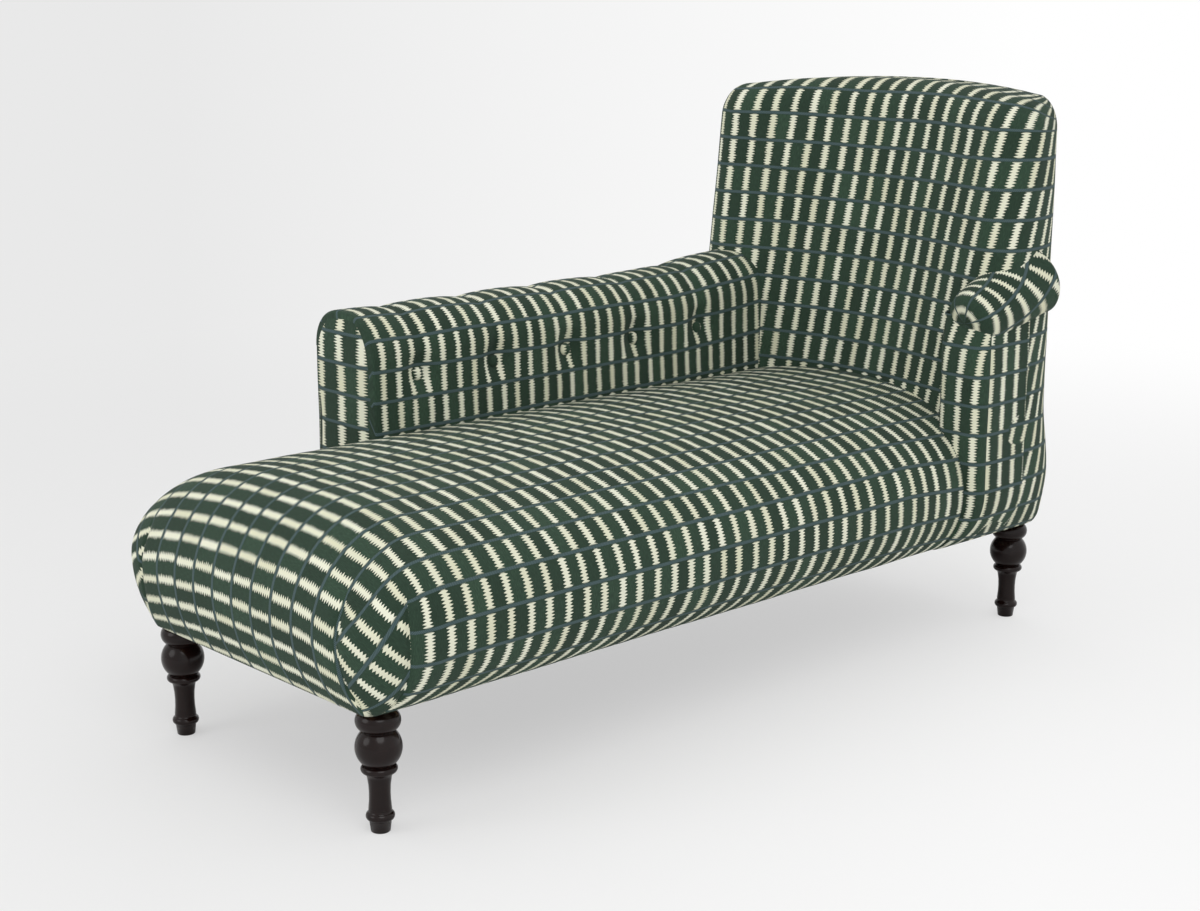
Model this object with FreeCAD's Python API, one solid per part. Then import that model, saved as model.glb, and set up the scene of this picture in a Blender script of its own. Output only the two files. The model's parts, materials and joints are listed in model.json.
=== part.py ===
import math
import os

import FreeCAD
import Part
from FreeCAD import Placement, Rotation, Vector

# Chaise longue with one long arm, one short scroll arm, a barrel back and four turned legs.
# Millimetres, +Z up. The foot end faces -Y, the back stands at +Y, the long arm is on -X.
# The model is drawn about the middle of the four legs and moved to its box centre at the end.

# Turned legs
leg_height = 178.0
leg_inset_x = 20.0
leg_inset_y = 28.0
leg_toe_radius = 12.9
leg_toe_flare = 15.6
leg_toe_height = 16.5
leg_bead_radius = 20.2
leg_bead_round = 6.4
leg_bead_turn = (-65.0, 70.0)
leg_bead_chords = 3
leg_waist_radius = 14.9
leg_waist_height = 57.0
leg_waist_reach = 16.8
leg_low_flare = 0.8
leg_high_flare = 1.0
leg_shoulder_radius = 18.6
leg_ring_radius = 25.6
leg_ring_round = 5.6
leg_ring_turn = (-80.0, 80.0)
leg_ring_chords = 3
leg_ring_height = 91.5
leg_ball_radius = 32.8
leg_ball_height = 122.8
leg_ball_seat = 19.4
leg_ball_top_angle = 46.5
leg_ball_chords = 5
leg_bun_radius = 31.6
leg_bun_round = 15.7
leg_bun_turn = (-66.0, 78.0)
leg_bun_chords = 4
leg_top_lip = 3.0
leg_bun_height = 161.2

# Leg fixings
bolt_radius = 4.0
bolt_in_leg = 42.0
bolt_in_block = 52.0
plate_width = 38.0
plate_thickness = 2.5
fixing_clearance = 0.2

# Seat frame
frame_half_width = 270.0
frame_half_length = 736.0
leg_spacing_x = 2 * (frame_half_width - leg_inset_x)
leg_spacing_y = 2 * (frame_half_length - leg_inset_y)
rail_thickness = 30.0
rail_height = 90.0
corner_block = 60.0
brace_width = 40.0
brace_height = 60.0
brace_drop = 20.0
brace_offset = 235.0
tenon_length = 40.0
tenon_thickness = 10.0
tenon_height = 50.0

# Webbing and cloths
web_width = 50.0
web_thickness = 2.0
web_edge = 8.0
web_across_count = 9
web_along_count = 4
back_web_count = 5
cloth_thickness = 1.5
cover_thickness = 2.0
soft_gap = 0.6
seam_gap = 0.4

# Seat form
seat_half_width = 348.0
seat_end_half_width = 334.0
seat_end_run = 160.0
seat_base_half_width = 274.0
seat_foot_overhang = 39.0
seat_foot_face = -(frame_half_length + seat_foot_overhang)
seat_foot_base_inset = 33.0
seat_foot_corner = 104.0
seat_bulge_height = 285.0
seat_shoulder_height = 392.0
seat_shoulder_inset = 64.0
seat_crown_height = 437.0
seat_top_roll = 150.0
seat_first_runs = (0.5, 9.0, 20.0)
seat_mid_run = 62.0
seat_stump_rise = 0.97
seat_rear_rise = 0.9
seat_shoulder_drop = 0.85
seat_shoulder_draw = 0.5
seat_base_chords = 4
seat_side_chords = 6
seat_top_chords = 10

# Back form
back_half_width = 359.0
back_base_half_width = 280.0
back_rear_padding = 15.0
back_rear = frame_half_length + back_rear_padding
back_depth = 267.0
back_front_low = back_rear - back_depth
back_lean = 0.122
back_lean_from = 406.0
back_hollow = 68.0
back_nose_radius = 60.0
back_rear_tuck = 17.0
back_rear_base = back_rear - back_rear_tuck
back_corner_radius = 166.0
back_top_corner = 52.0
back_shoulder_height = 940.0
back_top_height = 959.0
back_roll_radius = 52.0
back_bulge_height = 290.0
back_side_panel = 61.0
back_seam = back_rear - back_side_panel
back_roll_turns = (0, 28, 56, 88)

# Back frame
post_width = 40.0
post_depth = 45.0
post_outer = 250.0
post_cover = 19.0
post_rear = back_rear - post_cover
post_top = 880.0
top_rail_height = 55.0
mid_rail_height = 40.0
mid_rail_level = 600.0
tacking_rail_height = 35.0
tacking_rail_level = 322.0
tacking_rail_thickness = 20.0

# Long arm
arm_outer = 359.0
arm_base_half_width = 280.0
arm_inner = 203.0
arm_set_back = 406.0
arm_front = seat_foot_face + arm_set_back
arm_in_back = 101.0
arm_rear = back_front_low + arm_in_back
arm_top_height = 614.0
arm_rear_top_height = 638.0
arm_rise_run = 285.0
arm_rise_from = arm_rear - arm_rise_run
arm_outer_roll = 62.0
arm_inner_roll = 74.0
arm_inner_crown = 8.0
arm_post_thickness = 30.0
arm_post_width = 60.0
arm_post_bottom = 208.0
arm_rail_width = 50.0
arm_rail_height = 30.0
arm_rail_top = 580.0
arm_upright_count = 3
arm_post_front_gap = 14.0
arm_post_rear_gap = 8.0

# Tufting buttons
button_count = 5
button_radius = 11.0
button_thickness = 8.0
button_profile = ((1.0, 0.0), (1.0, 0.4), (0.75, 0.8), (0.35, 1.0))
button_level = 513.0
button_set_back = 94.0
button_first = arm_front + button_set_back
button_pitch = 160.0
tuft_radius = 40.0
tuft_depth = 14.0

# Short arm
stump_inner = 263.0
stump_outer = 357.0
stump_length = 28.0
stump_front = back_front_low - stump_length
stump_corner = 34.0
stump_top = 590.0
roll_seam = 540.0
roll_overhang = 4.0
roll_front = stump_front - roll_overhang
roll_front_radius = 47.0
roll_front_x = 318.0
roll_front_z = 578.0
roll_in_back = 156.0
roll_rear = back_front_low + roll_in_back
roll_rear_radius = 60.0
roll_rear_x = 332.0
roll_rear_z = 634.0
roll_nose = ((0.62, 0.0), (0.88, 9.0), (1.0, 26.0))
roll_tail = ((1.0, 40.0), (0.85, 10.0), (0.6, 0.0))
stump_post_width = 42.0
stump_post_inset = 20.0
stump_post_pitch = 56.0
stump_post_first = stump_front + stump_post_inset
stump_post_second = stump_post_first + stump_post_pitch

rail_top = leg_height + rail_height
frame_inner_half = frame_half_width - rail_thickness
deck_top = rail_top + 2 * web_thickness + cloth_thickness
skirt_depth = 20.0
skirt_least = 1.0
skirt_growth = 4
cut_over = 1.0
corner_share = 1 - math.sqrt(0.5)
flat_enough = 0.001
chord_sag = 0.7
turning_sides = 24
outline_overlap = 4.0
shift = 1000.0


def box(x0, x1, y0, y1, z0, z1):
    low = Vector(min(x0, x1), min(y0, y1), min(z0, z1))
    return Part.makeBox(abs(x1 - x0), abs(y1 - y0), abs(z1 - z0), low)


def chords(first, middle, last, count=0):
    # Points after the first along an arc through three, at a steady angle.
    edge = Part.Arc(first, middle, last).toShape()
    if not count:
        step = 2 * math.acos(1 - chord_sag / max(edge.Curve.Radius, 2 * chord_sag))
        count = math.ceil((edge.LastParameter - edge.FirstParameter) / step)
    return edge.discretize(Number=count + 1)[1:]


def facet(points):
    return Part.Face(Part.makePolygon(points + points[:1]))


def loft(rings):
    # Closed form between rings of points, ruled by flat facets.
    faces = [facet(rings[0]), facet(rings[-1])]
    for low, high in zip(rings, rings[1:]):
        for i in range(len(low)):
            a, b, c, d = low[i - 1], low[i], high[i], high[i - 1]
            if abs((b - a).cross(c - a).dot(d - a)) < flat_enough:
                faces.append(facet([a, b, c, d]))
            else:
                faces += [facet([a, b, c]), facet([a, c, d])]
    shell = Part.Shell(faces)
    shell.sewShape()
    return Part.Solid(shell)


def rod(radius, low, high, x, y):
    return Part.makeCylinder(radius, high - low, Vector(x, y, low))


def cut(shape, tools):
    near = [tool for tool in tools if shape.BoundBox.intersect(tool.BoundBox)]
    return shape.cut(near) if near else shape


def main_piece(shape):
    # The largest solid, without the crumbs that are left where two bowed sides cross.
    return max(shape.Solids, key=lambda solid: solid.Volume)


def group(solids):
    return Part.makeCompound(solids)


def mirrored(shape):
    return shape.mirror(Vector(0, 0, 0), Vector(1, 0, 0))


def corners():
    places = []
    for sx in (-1, 1):
        for sy in (-1, 1):
            places.append((sx * leg_spacing_x / 2, sy * leg_spacing_y / 2))
    return places


def bow_centre(wide, narrow, rise):
    # Centre of the arc that is upright at its widest and passes the narrow point.
    return (wide ** 2 - narrow ** 2 - rise ** 2) / (2 * (wide - narrow))


def bow_mid(wide, narrow, level, other):
    # Middle point of that arc, between the widest level and the other level.
    centre = bow_centre(wide, narrow, other - level)
    radius = wide - centre
    angle = math.atan2(other - level, narrow - centre) / 2
    return centre + radius * math.cos(angle), level + radius * math.sin(angle)


def swing(centre, level, radius, turns, count):
    # Points round an arc in the XZ plane, from one angle to the other in degrees.
    first, last = turns
    spots = []
    for i in range(count + 1):
        turn = math.radians(first + (last - first) * i / count)
        spots.append((centre + radius * math.cos(turn), level + radius * math.sin(turn)))
    return spots


def turned(profile):
    # Lathe form about Z from a run of radius and height pairs, as many-sided rings.
    rings = []
    for radius, level in profile:
        ring = []
        for i in range(turning_sides):
            turn = 2 * math.pi * (i + 0.5) / turning_sides
            ring.append(Vector(radius * math.cos(turn), radius * math.sin(turn), level))
        rings.append(ring)
    return loft(rings)


# Turned leg: tapered toe, bead, waisted stem, ring, ball and bun on one axis
def leg():
    bead_height = leg_toe_height + leg_bead_round
    ring_low = leg_ring_height - leg_ring_round
    seat_angle = -math.degrees(math.acos(leg_ball_seat / leg_ball_radius))
    profile = [(leg_toe_radius, 0), (leg_toe_flare, leg_toe_height)]
    bun_centre = leg_bun_radius - leg_bun_round
    profile += swing(leg_bead_radius - leg_bead_round, bead_height, leg_bead_round,
                     leg_bead_turn, leg_bead_chords)
    profile += [
        (leg_waist_radius + leg_low_flare, leg_waist_height - leg_waist_reach),
        (leg_waist_radius, leg_waist_height),
        (leg_waist_radius + leg_high_flare, leg_waist_height + leg_waist_reach),
        (leg_shoulder_radius, ring_low),
    ]
    profile += swing(leg_ring_radius - leg_ring_round, leg_ring_height, leg_ring_round,
                     leg_ring_turn, leg_ring_chords)
    profile += swing(0, leg_ball_height, leg_ball_radius,
                     (seat_angle, leg_ball_top_angle), leg_ball_chords)
    profile += swing(bun_centre, leg_bun_height, leg_bun_round, leg_bun_turn, leg_bun_chords)
    profile += [(bun_centre + leg_top_lip, leg_height)]
    low = leg_height - bolt_in_leg - fixing_clearance
    return turned(profile).cut(rod(bolt_radius + fixing_clearance, low, leg_height + cut_over, 0, 0))


def legs():
    names = ("leg_foot_left", "leg_head_left", "leg_foot_right", "leg_head_right")
    pattern = leg()
    made = {}
    for name, (x, y) in zip(names, corners()):
        made[name] = pattern.translated(Vector(x, y, 0))
    return made


def hanger_bolts():
    low = leg_height - bolt_in_leg
    high = leg_height + bolt_in_block
    return group([rod(bolt_radius, low, high, x, y) for x, y in corners()])


# Steel plate between the leg and its corner block, with a threaded hole for the bolt
def leg_plate(x, y, gap):
    half = plate_width / 2 + gap
    return box(x - half, x + half, y - half, y + half,
               leg_height, leg_height + plate_thickness + gap)


def leg_plates():
    plates = group([leg_plate(x, y, 0) for x, y in corners()])
    return cut(plates, [bolt_hole(x, y) for x, y in corners()])


def bolt_hole(x, y):
    return rod(bolt_radius + fixing_clearance, leg_height - cut_over,
               leg_height + bolt_in_block + fixing_clearance, x, y)


# Loose tenons that join the rails to the corner blocks
def tenons(gap):
    made = []
    half = tenon_thickness / 2 + gap
    reach = tenon_length / 2 + gap
    middle = leg_height + rail_height / 2
    low = middle - tenon_height / 2 - gap
    high = middle + tenon_height / 2 + gap
    for sx in (-1, 1):
        for sy in (-1, 1):
            side_x = sx * (frame_half_width - rail_thickness / 2)
            side_y = sy * (frame_half_length - corner_block)
            end_x = sx * (frame_half_width - corner_block)
            end_y = sy * (frame_half_length - rail_thickness / 2)
            made.append(box(side_x - half, side_x + half, side_y - reach, side_y + reach, low, high))
            made.append(box(end_x - reach, end_x + reach, end_y - half, end_y + half, low, high))
    return made


# Seat frame: four corner blocks, four rails between them and two cross braces
def corner_blocks(holes):
    made = []
    for x, y in corners():
        sx = math.copysign(1, x)
        sy = math.copysign(1, y)
        outer_x = sx * frame_half_width
        outer_y = sy * frame_half_length
        solid = box(outer_x, outer_x - sx * corner_block, outer_y, outer_y - sy * corner_block,
                    leg_height, rail_top)
        made.append(cut(solid, [leg_plate(x, y, fixing_clearance), bolt_hole(x, y)] + holes))
    return group(made)


def seat_rails(holes):
    block_x = frame_half_width - corner_block
    block_y = frame_half_length - corner_block
    inner_y = frame_half_length - rail_thickness
    side = box(frame_inner_half, frame_half_width, -block_y, block_y, leg_height, rail_top)
    foot = box(-block_x, block_x, -frame_half_length, -inner_y, leg_height, rail_top)
    head = box(-block_x, block_x, inner_y, frame_half_length, leg_height, rail_top)
    return {
        "side_rail_right": cut(side, holes),
        "side_rail_left": cut(mirrored(side), holes),
        "foot_rail": cut(foot, holes),
        "head_rail": cut(head, holes),
    }


def cross_brace(y):
    half = brace_width / 2
    top = rail_top - brace_drop
    return box(-frame_inner_half, frame_inner_half, y - half, y + half, top - brace_height, top)


def spread(count, half_span):
    # Evenly spaced centres that leave half a space at each end.
    pitch = 2 * half_span / count
    return [-half_span + pitch * (i + 0.5) for i in range(count)]


def webbing_across():
    reach = frame_half_width - web_edge
    half = web_width / 2
    made = []
    for y in spread(web_across_count, frame_half_length - rail_thickness):
        made.append(box(-reach, reach, y - half, y + half, rail_top, rail_top + web_thickness))
    return group(made)


def webbing_along():
    reach = frame_half_length - web_edge
    half = web_width / 2
    low = rail_top + web_thickness
    made = []
    for x in spread(web_along_count, frame_inner_half):
        made.append(box(x - half, x + half, -reach, reach, low, low + web_thickness))
    return group(made)


def seat_hessian():
    reach = frame_half_width - web_edge
    low = rail_top + 2 * web_thickness
    sheet = box(-reach, reach, -frame_half_length + web_edge, frame_half_length - web_edge,
                low, low + cloth_thickness)
    return sheet


def bottoming_cloth():
    low = leg_height - cloth_thickness
    sheet = box(-frame_half_width + web_edge, frame_half_width - web_edge,
                -frame_half_length + web_edge, frame_half_length - web_edge, low, leg_height)
    holes = []
    for x, y in corners():
        holes.append(rod(leg_bun_radius, low - cut_over, leg_height + cut_over, x, y))
    return cut(sheet, holes)


# Back frame: two posts, three rails between them and upright webbing
def back_post():
    return box(post_outer - post_width, post_outer, post_rear - post_depth, post_rear,
               rail_top, post_top)


def back_rail(low, height):
    reach = post_outer - post_width
    depth = rail_thickness
    front = post_rear - post_depth
    return box(-reach, reach, front, front + depth, low, low + height)


def back_webbing():
    reach = post_outer - post_width
    front = post_rear - post_depth - web_thickness
    half = web_width / 2
    made = []
    for x in spread(back_web_count, reach):
        made.append(box(x - half, x + half, front, front + web_thickness,
                        tacking_rail_level, post_top - web_edge))
    return group(made)


# Long arm frame: posts fixed outside the side rail, a top rail and a tacking rail
def arm_post(first):
    outer = -frame_half_width - arm_post_thickness
    return box(outer, -frame_half_width, first, first + arm_post_width,
               arm_post_bottom, arm_rail_top - arm_rail_height)


def arm_post_starts():
    first = arm_front + arm_post_front_gap
    last = arm_rear - arm_post_rear_gap - arm_post_width
    pitch = (last - first) / arm_upright_count
    return [first + pitch * i for i in range(arm_upright_count + 1)]


def arm_top_rail():
    middle = -frame_half_width - arm_post_thickness / 2
    half = arm_rail_width / 2
    starts = arm_post_starts()
    return box(middle - half, middle + half, starts[0], starts[-1] + arm_post_width,
               arm_rail_top - arm_rail_height, arm_rail_top)


def tacking_rail(first, last):
    return box(frame_half_width - tacking_rail_thickness, frame_half_width, first, last,
               tacking_rail_level, tacking_rail_level + tacking_rail_height)


# Short arm frame
def stump_post(first):
    return box(frame_half_width, frame_half_width + arm_post_thickness,
               first, first + stump_post_width, arm_post_bottom, stump_top - 2 * arm_rail_height)


def short_arm_top_rail():
    middle = frame_half_width + arm_post_thickness / 2
    half = arm_post_thickness / 2
    low = stump_top - 2 * arm_rail_height
    return box(middle - half, middle + half, stump_post_first,
               stump_post_second + stump_post_width, low, low + arm_rail_height)


# Seat form: sections across the seat, drawn in at the base and crowned on top
def seat_section(y, half, low, rise, skirt, inset):
    level = seat_bulge_height
    drop = level - low
    full_drop = seat_bulge_height - leg_height
    deep = min(1.0, drop / full_drop)
    base = half - (seat_half_width - seat_base_half_width) * deep - inset
    wide = half - inset
    shoulder = level + (seat_shoulder_height - level) * rise - inset * seat_shoulder_drop
    narrow = half - seat_shoulder_inset * rise - inset * seat_shoulder_draw
    crown = level + (seat_crown_height - level) * rise - inset
    bottom = low
    low_x, low_z = bow_mid(wide, base, level, bottom)
    top_x, top_z = bow_mid(wide, narrow, level, shoulder)
    under = low - skirt
    points = [Vector(-base, y, under), Vector(base, y, under), Vector(base, y, bottom)]
    points += chords(points[-1], Vector(low_x, y, low_z), Vector(wide, y, level), seat_base_chords)
    points += chords(points[-1], Vector(top_x, y, top_z), Vector(narrow, y, shoulder), seat_side_chords)
    points += chords(points[-1], Vector(0, y, crown), Vector(-narrow, y, shoulder), seat_top_chords)
    points += chords(points[-1], Vector(-top_x, y, top_z), Vector(-wide, y, level), seat_side_chords)
    points += chords(points[-1], Vector(-low_x, y, low_z), Vector(-base, y, bottom), seat_base_chords)
    return points


def seat_form(inset):
    drop = seat_bulge_height - leg_height
    base_run = seat_foot_base_inset
    face_radius = (base_run ** 2 + drop ** 2) / (2 * base_run)
    corner = seat_foot_corner
    wires = []
    for run in sorted(seat_first_runs + (base_run, seat_mid_run, corner, seat_top_roll)):
        y = seat_foot_face + run + inset
        deep = min(run, base_run)
        low = seat_bulge_height - math.sqrt(2 * face_radius * deep - deep ** 2)
        along = min(run, corner)
        half = seat_half_width - corner + math.sqrt(2 * corner * along - along ** 2)
        rise = math.sqrt(2 * seat_top_roll * run - run ** 2) / seat_top_roll
        skirt = skirt_least + (skirt_depth - skirt_least) * min(1, run / base_run) ** skirt_growth
        wires.append(seat_section(y, half, low, rise, skirt, inset))
    low = leg_height
    taper = stump_front - seat_end_run
    wires.append(seat_section(taper, seat_half_width, low, 1.0, skirt_depth, inset))
    wires.append(seat_section(stump_front, seat_end_half_width, low, seat_stump_rise, skirt_depth, inset))
    wires.append(seat_section(arm_rear, seat_end_half_width, low, seat_rear_rise, skirt_depth, inset))
    return loft(wires)


def drawn_in(points, inset):
    # Moves every side of a flat outline in by the inset and keeps its corners sharp.
    normal = Vector(0, 0, 0)
    for a, b in zip(points, points[1:] + points[:1]):
        normal += a.cross(b)
    normal.normalize()
    moved = []
    for before, here, after in zip(points[-1:] + points[:-1], points, points[1:] + points[:1]):
        first = normal.cross((here - before).normalize())
        second = normal.cross((after - here).normalize())
        moved.append(here + (first + second) * (inset / (1 + first.dot(second))))
    return moved


def outline(parts, inset=0.0):
    # Face inside a closed run of points and arcs, where an arc is its middle and its end.
    points = []
    last = parts[-1]
    for part in parts:
        if isinstance(part, list):
            points += chords(last, part[0], part[1])
        else:
            points.append(part)
        last = points[-1]
    return facet(drawn_in(points, inset))


def carried(face, path):
    # Solid swept out by a face that keeps its direction and is carried along straight runs.
    solid = None
    for start, end in zip(path, path[1:]):
        run = face.translated(start).extrude(end - start)
        solid = run if solid is None else solid.fuse(run)
    return solid.removeSplitter()


def common(shapes):
    solid = shapes[0]
    for shape in shapes[1:]:
        solid = solid.common(shape)
    return solid


# Back form: a hollow front that leans and rolls over the top, with an upright rear and sides
def back_front_outline(inset):
    half = back_half_width + outline_overlap
    nose = back_nose_radius
    flat = half - nose
    far = back_rear
    diagonal = nose * corner_share
    return outline([
        Vector(half, far, 0), Vector(half, nose, 0),
        [Vector(half - diagonal, diagonal, 0), Vector(flat, 0, 0)],
        [Vector(0, back_hollow * flat / half, 0), Vector(-flat, 0, 0)],
        [Vector(-half + diagonal, diagonal, 0), Vector(-half, nose, 0)],
        Vector(-half, far, 0),
    ], inset)


def back_plan_outline(inset):
    half = back_half_width + outline_overlap
    corner = back_corner_radius
    diagonal = corner * corner_share
    rear = back_rear
    return outline([
        Vector(-half, 0, 0), Vector(half, 0, 0), Vector(half, rear - corner, 0),
        [Vector(half - diagonal, rear - diagonal, 0), Vector(half - corner, rear, 0)],
        Vector(corner - half, rear, 0),
        [Vector(diagonal - half, rear - diagonal, 0), Vector(-half, rear - corner, 0)],
    ], inset)


def back_elevation_outline(inset):
    half = back_half_width
    base = back_base_half_width
    level = back_bulge_height
    corner = back_top_corner
    diagonal = corner * corner_share
    shoulder = back_shoulder_height
    low_x, low_z = bow_mid(half, base, level, leg_height)
    bottom = leg_height - skirt_depth
    return outline([
        Vector(-base, 0, bottom), Vector(base, 0, bottom), Vector(base, 0, leg_height),
        [Vector(low_x, 0, low_z), Vector(half, 0, level)],
        Vector(half, 0, shoulder - corner),
        [Vector(half - diagonal, 0, shoulder - diagonal), Vector(half - corner, 0, shoulder)],
        [Vector(0, 0, back_top_height), Vector(corner - half, 0, shoulder)],
        [Vector(diagonal - half, 0, shoulder - diagonal), Vector(-half, 0, shoulder - corner)],
        Vector(-half, 0, level),
        [Vector(-low_x, 0, low_z), Vector(-base, 0, leg_height)],
    ], inset)


def back_side_outline(inset):
    rear = back_rear + outline_overlap
    roll = back_roll_radius
    diagonal = roll * corner_share
    top = back_top_height + outline_overlap
    level = back_bulge_height
    low_y, low_z = bow_mid(rear, back_rear_base, level, leg_height)
    return outline([
        Vector(0, 0, 0), Vector(0, back_rear_base, 0), Vector(0, back_rear_base, leg_height),
        [Vector(0, low_y, low_z), Vector(0, rear, level)], Vector(0, rear, top - roll),
        [Vector(0, rear - diagonal, top - diagonal), Vector(0, rear - roll, top)],
        Vector(0, 0, top),
    ], inset)


def back_form(inset):
    low = leg_height - 2 * skirt_depth
    roll = back_roll_radius - inset
    shoulder = back_top_height + outline_overlap - inset - roll
    path = [Vector(0, back_front_low + back_lean * (low - back_lean_from), low)]
    for angle in back_roll_turns:
        turn = math.radians(angle)
        level = shoulder + roll * math.sin(turn)
        lean = back_lean * (shoulder - back_lean_from)
        path.append(Vector(0, back_front_low + lean + roll * (1 - math.cos(turn)), level))
    front = carried(back_front_outline(inset), path)
    plan = back_plan_outline(inset).translated(Vector(0, 0, low)).extrude(Vector(0, 0, shift))
    elevation = back_elevation_outline(inset).extrude(Vector(0, shift, 0))
    side = back_side_outline(inset).translated(Vector(-shift / 2, 0, 0)).extrude(Vector(shift, 0, 0))
    return common([front, plan, elevation, side])


# Long arm form: a padded wall with a rolled top, rising a little to the back
def arm_outline(inset):
    base = -arm_base_half_width
    level = back_bulge_height
    low = leg_height
    bottom = low - skirt_depth
    low_x, low_z = bow_mid(arm_outer, arm_base_half_width, level, low)
    out = arm_outer_roll
    roll = arm_inner_roll
    out_diagonal = out * corner_share
    roll_diagonal = roll * corner_share
    high = arm_top_height
    inner = -arm_inner
    middle = (low + high - roll) / 2
    return outline([
        Vector(inner, 0, bottom), Vector(base, 0, bottom), Vector(base, 0, low),
        [Vector(-low_x, 0, low_z), Vector(-arm_outer, 0, level)],
        Vector(-arm_outer, 0, high - out),
        [Vector(out_diagonal - arm_outer, 0, high - out_diagonal), Vector(out - arm_outer, 0, high)],
        Vector(inner - roll, 0, high),
        [Vector(inner - roll_diagonal, 0, high - roll_diagonal), Vector(inner, 0, high - roll)],
        [Vector(inner + arm_inner_crown, 0, middle), Vector(inner, 0, low)],
    ], inset)


def long_arm_form(inset):
    rise = arm_rear_top_height - arm_top_height
    return carried(arm_outline(inset), [
        Vector(0, arm_front + inset, 0),
        Vector(0, arm_rise_from, 0),
        Vector(0, arm_rear - inset, rise),
    ])


def button_places():
    return [button_first + button_pitch * i for i in range(button_count)]


def arm_crown_at(z):
    # Inner face of the long arm at a height, on its crowned arc.
    high = arm_top_height - arm_inner_roll
    half = (high - leg_height) / 2
    radius = (half ** 2 + arm_inner_crown ** 2) / (2 * arm_inner_crown)
    off = z - (high + leg_height) / 2
    return -arm_inner + arm_inner_crown - radius + math.sqrt(radius ** 2 - off ** 2)


def tufts(inset):
    # Hollows that the buttons pull into the padding, as funnels that widen to the surface.
    slope = tuft_depth / (tuft_radius - button_radius)
    back = inset * math.sqrt(1 + slope ** 2)
    length = tuft_depth + back + cut_over
    funnel = turned([(button_radius, 0), (button_radius + length / slope, length)])
    face = arm_crown_at(button_level)
    return [facing_in(funnel, face - tuft_depth - back, y) for y in button_places()]


def facing_in(shape, x, y):
    # Turns a lathe form to point across the seat from the long arm.
    place = Placement(Vector(x, y, button_level), Rotation(Vector(0, 1, 0), 90))
    return shape.transformed(place.toMatrix())


def arm_buttons():
    # Each button has a short rim and a domed cap, and sits in the bottom of its tuft.
    profile = [(button_radius * wide, button_thickness * high) for wide, high in button_profile]
    button = turned(profile)
    face = arm_crown_at(button_level) - tuft_depth + seam_gap
    return group([facing_in(button, face, y) for y in button_places()])


# Short arm form: a stump with a rounded front and a scroll that widens to the back
def stump_plan_outline(inset):
    inner = stump_inner
    outer = stump_outer
    front = stump_front
    corner = stump_corner
    diagonal = corner * corner_share
    far = arm_rear + skirt_depth
    return outline([
        Vector(inner, far, 0), Vector(inner, front + corner, 0),
        [Vector(inner + diagonal, front + diagonal, 0), Vector(inner + corner, front, 0)],
        Vector(outer - corner, front, 0),
        [Vector(outer - diagonal, front + diagonal, 0), Vector(outer, front + corner, 0)],
        Vector(outer, far, 0),
    ], inset)


def stump_elevation_outline(inset):
    base = arm_base_half_width
    level = back_bulge_height
    low_x, low_z = bow_mid(stump_outer, base, level, leg_height)
    bottom = leg_height - skirt_depth
    return outline([
        Vector(0, 0, bottom), Vector(base, 0, bottom), Vector(base, 0, leg_height),
        [Vector(low_x, 0, low_z), Vector(stump_outer, 0, level)],
        Vector(stump_outer, 0, stump_top), Vector(0, 0, stump_top),
    ], inset)


def scroll_form(inset):
    start = Vector(roll_front_x, roll_front, roll_front_z)
    way = Vector(roll_rear_x, roll_rear, roll_rear_z) - start
    small = roll_front_radius - inset
    large = roll_rear_radius - inset
    length = way.Length
    profile = [(small * share, inset + run) for share, run in roll_nose]
    profile += [(large * share, length - inset - run) for share, run in roll_tail]
    turn = Placement(start, Rotation(Vector(0, 0, 1), way))
    return turned(profile).transformed(turn.toMatrix())


def short_arm_form(inset):
    low = Vector(0, 0, leg_height - skirt_depth)
    plan = stump_plan_outline(inset).translated(low).extrude(Vector(0, 0, shift))
    elevation = stump_elevation_outline(inset).extrude(Vector(0, arm_rear - inset, 0))
    return plan.common(elevation).fuse(scroll_form(inset))


def platform():
    # Everything inside the seat frame's outer faces, from the floor to the hessian.
    return box(-frame_half_width, frame_half_width, -frame_half_length, frame_half_length,
               0, deck_top)


def below_frame():
    return box(-shift, shift, -shift, shift, -shift, leg_height)


def behind_back_webbing():
    reach = post_outer - post_width
    return box(-reach, reach, post_rear - post_depth - web_thickness, back_rear + shift,
               0, post_top - top_rail_height)


def seams():
    # Boxes that part the covers: each holds what is cut away from the piece before it.
    facing = cover_thickness + seam_gap
    return {
        "outside_back": box(-shift, shift, back_seam, shift, 0, shift),
        "long_facing": box(-shift, 0, -shift, arm_front + facing, 0, shift),
        "long_outside": box(-shift, -frame_half_width, -shift, shift,
                            0, arm_top_height - arm_outer_roll),
        "short_facing": box(0, shift, -shift, stump_front + stump_corner, 0, roll_seam),
        "short_outside": box(frame_half_width + arm_post_thickness, shift, -shift, shift,
                             0, roll_seam),
    }


def split(shape, tool):
    return shape.common(tool), shape.cut(tool)


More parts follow.
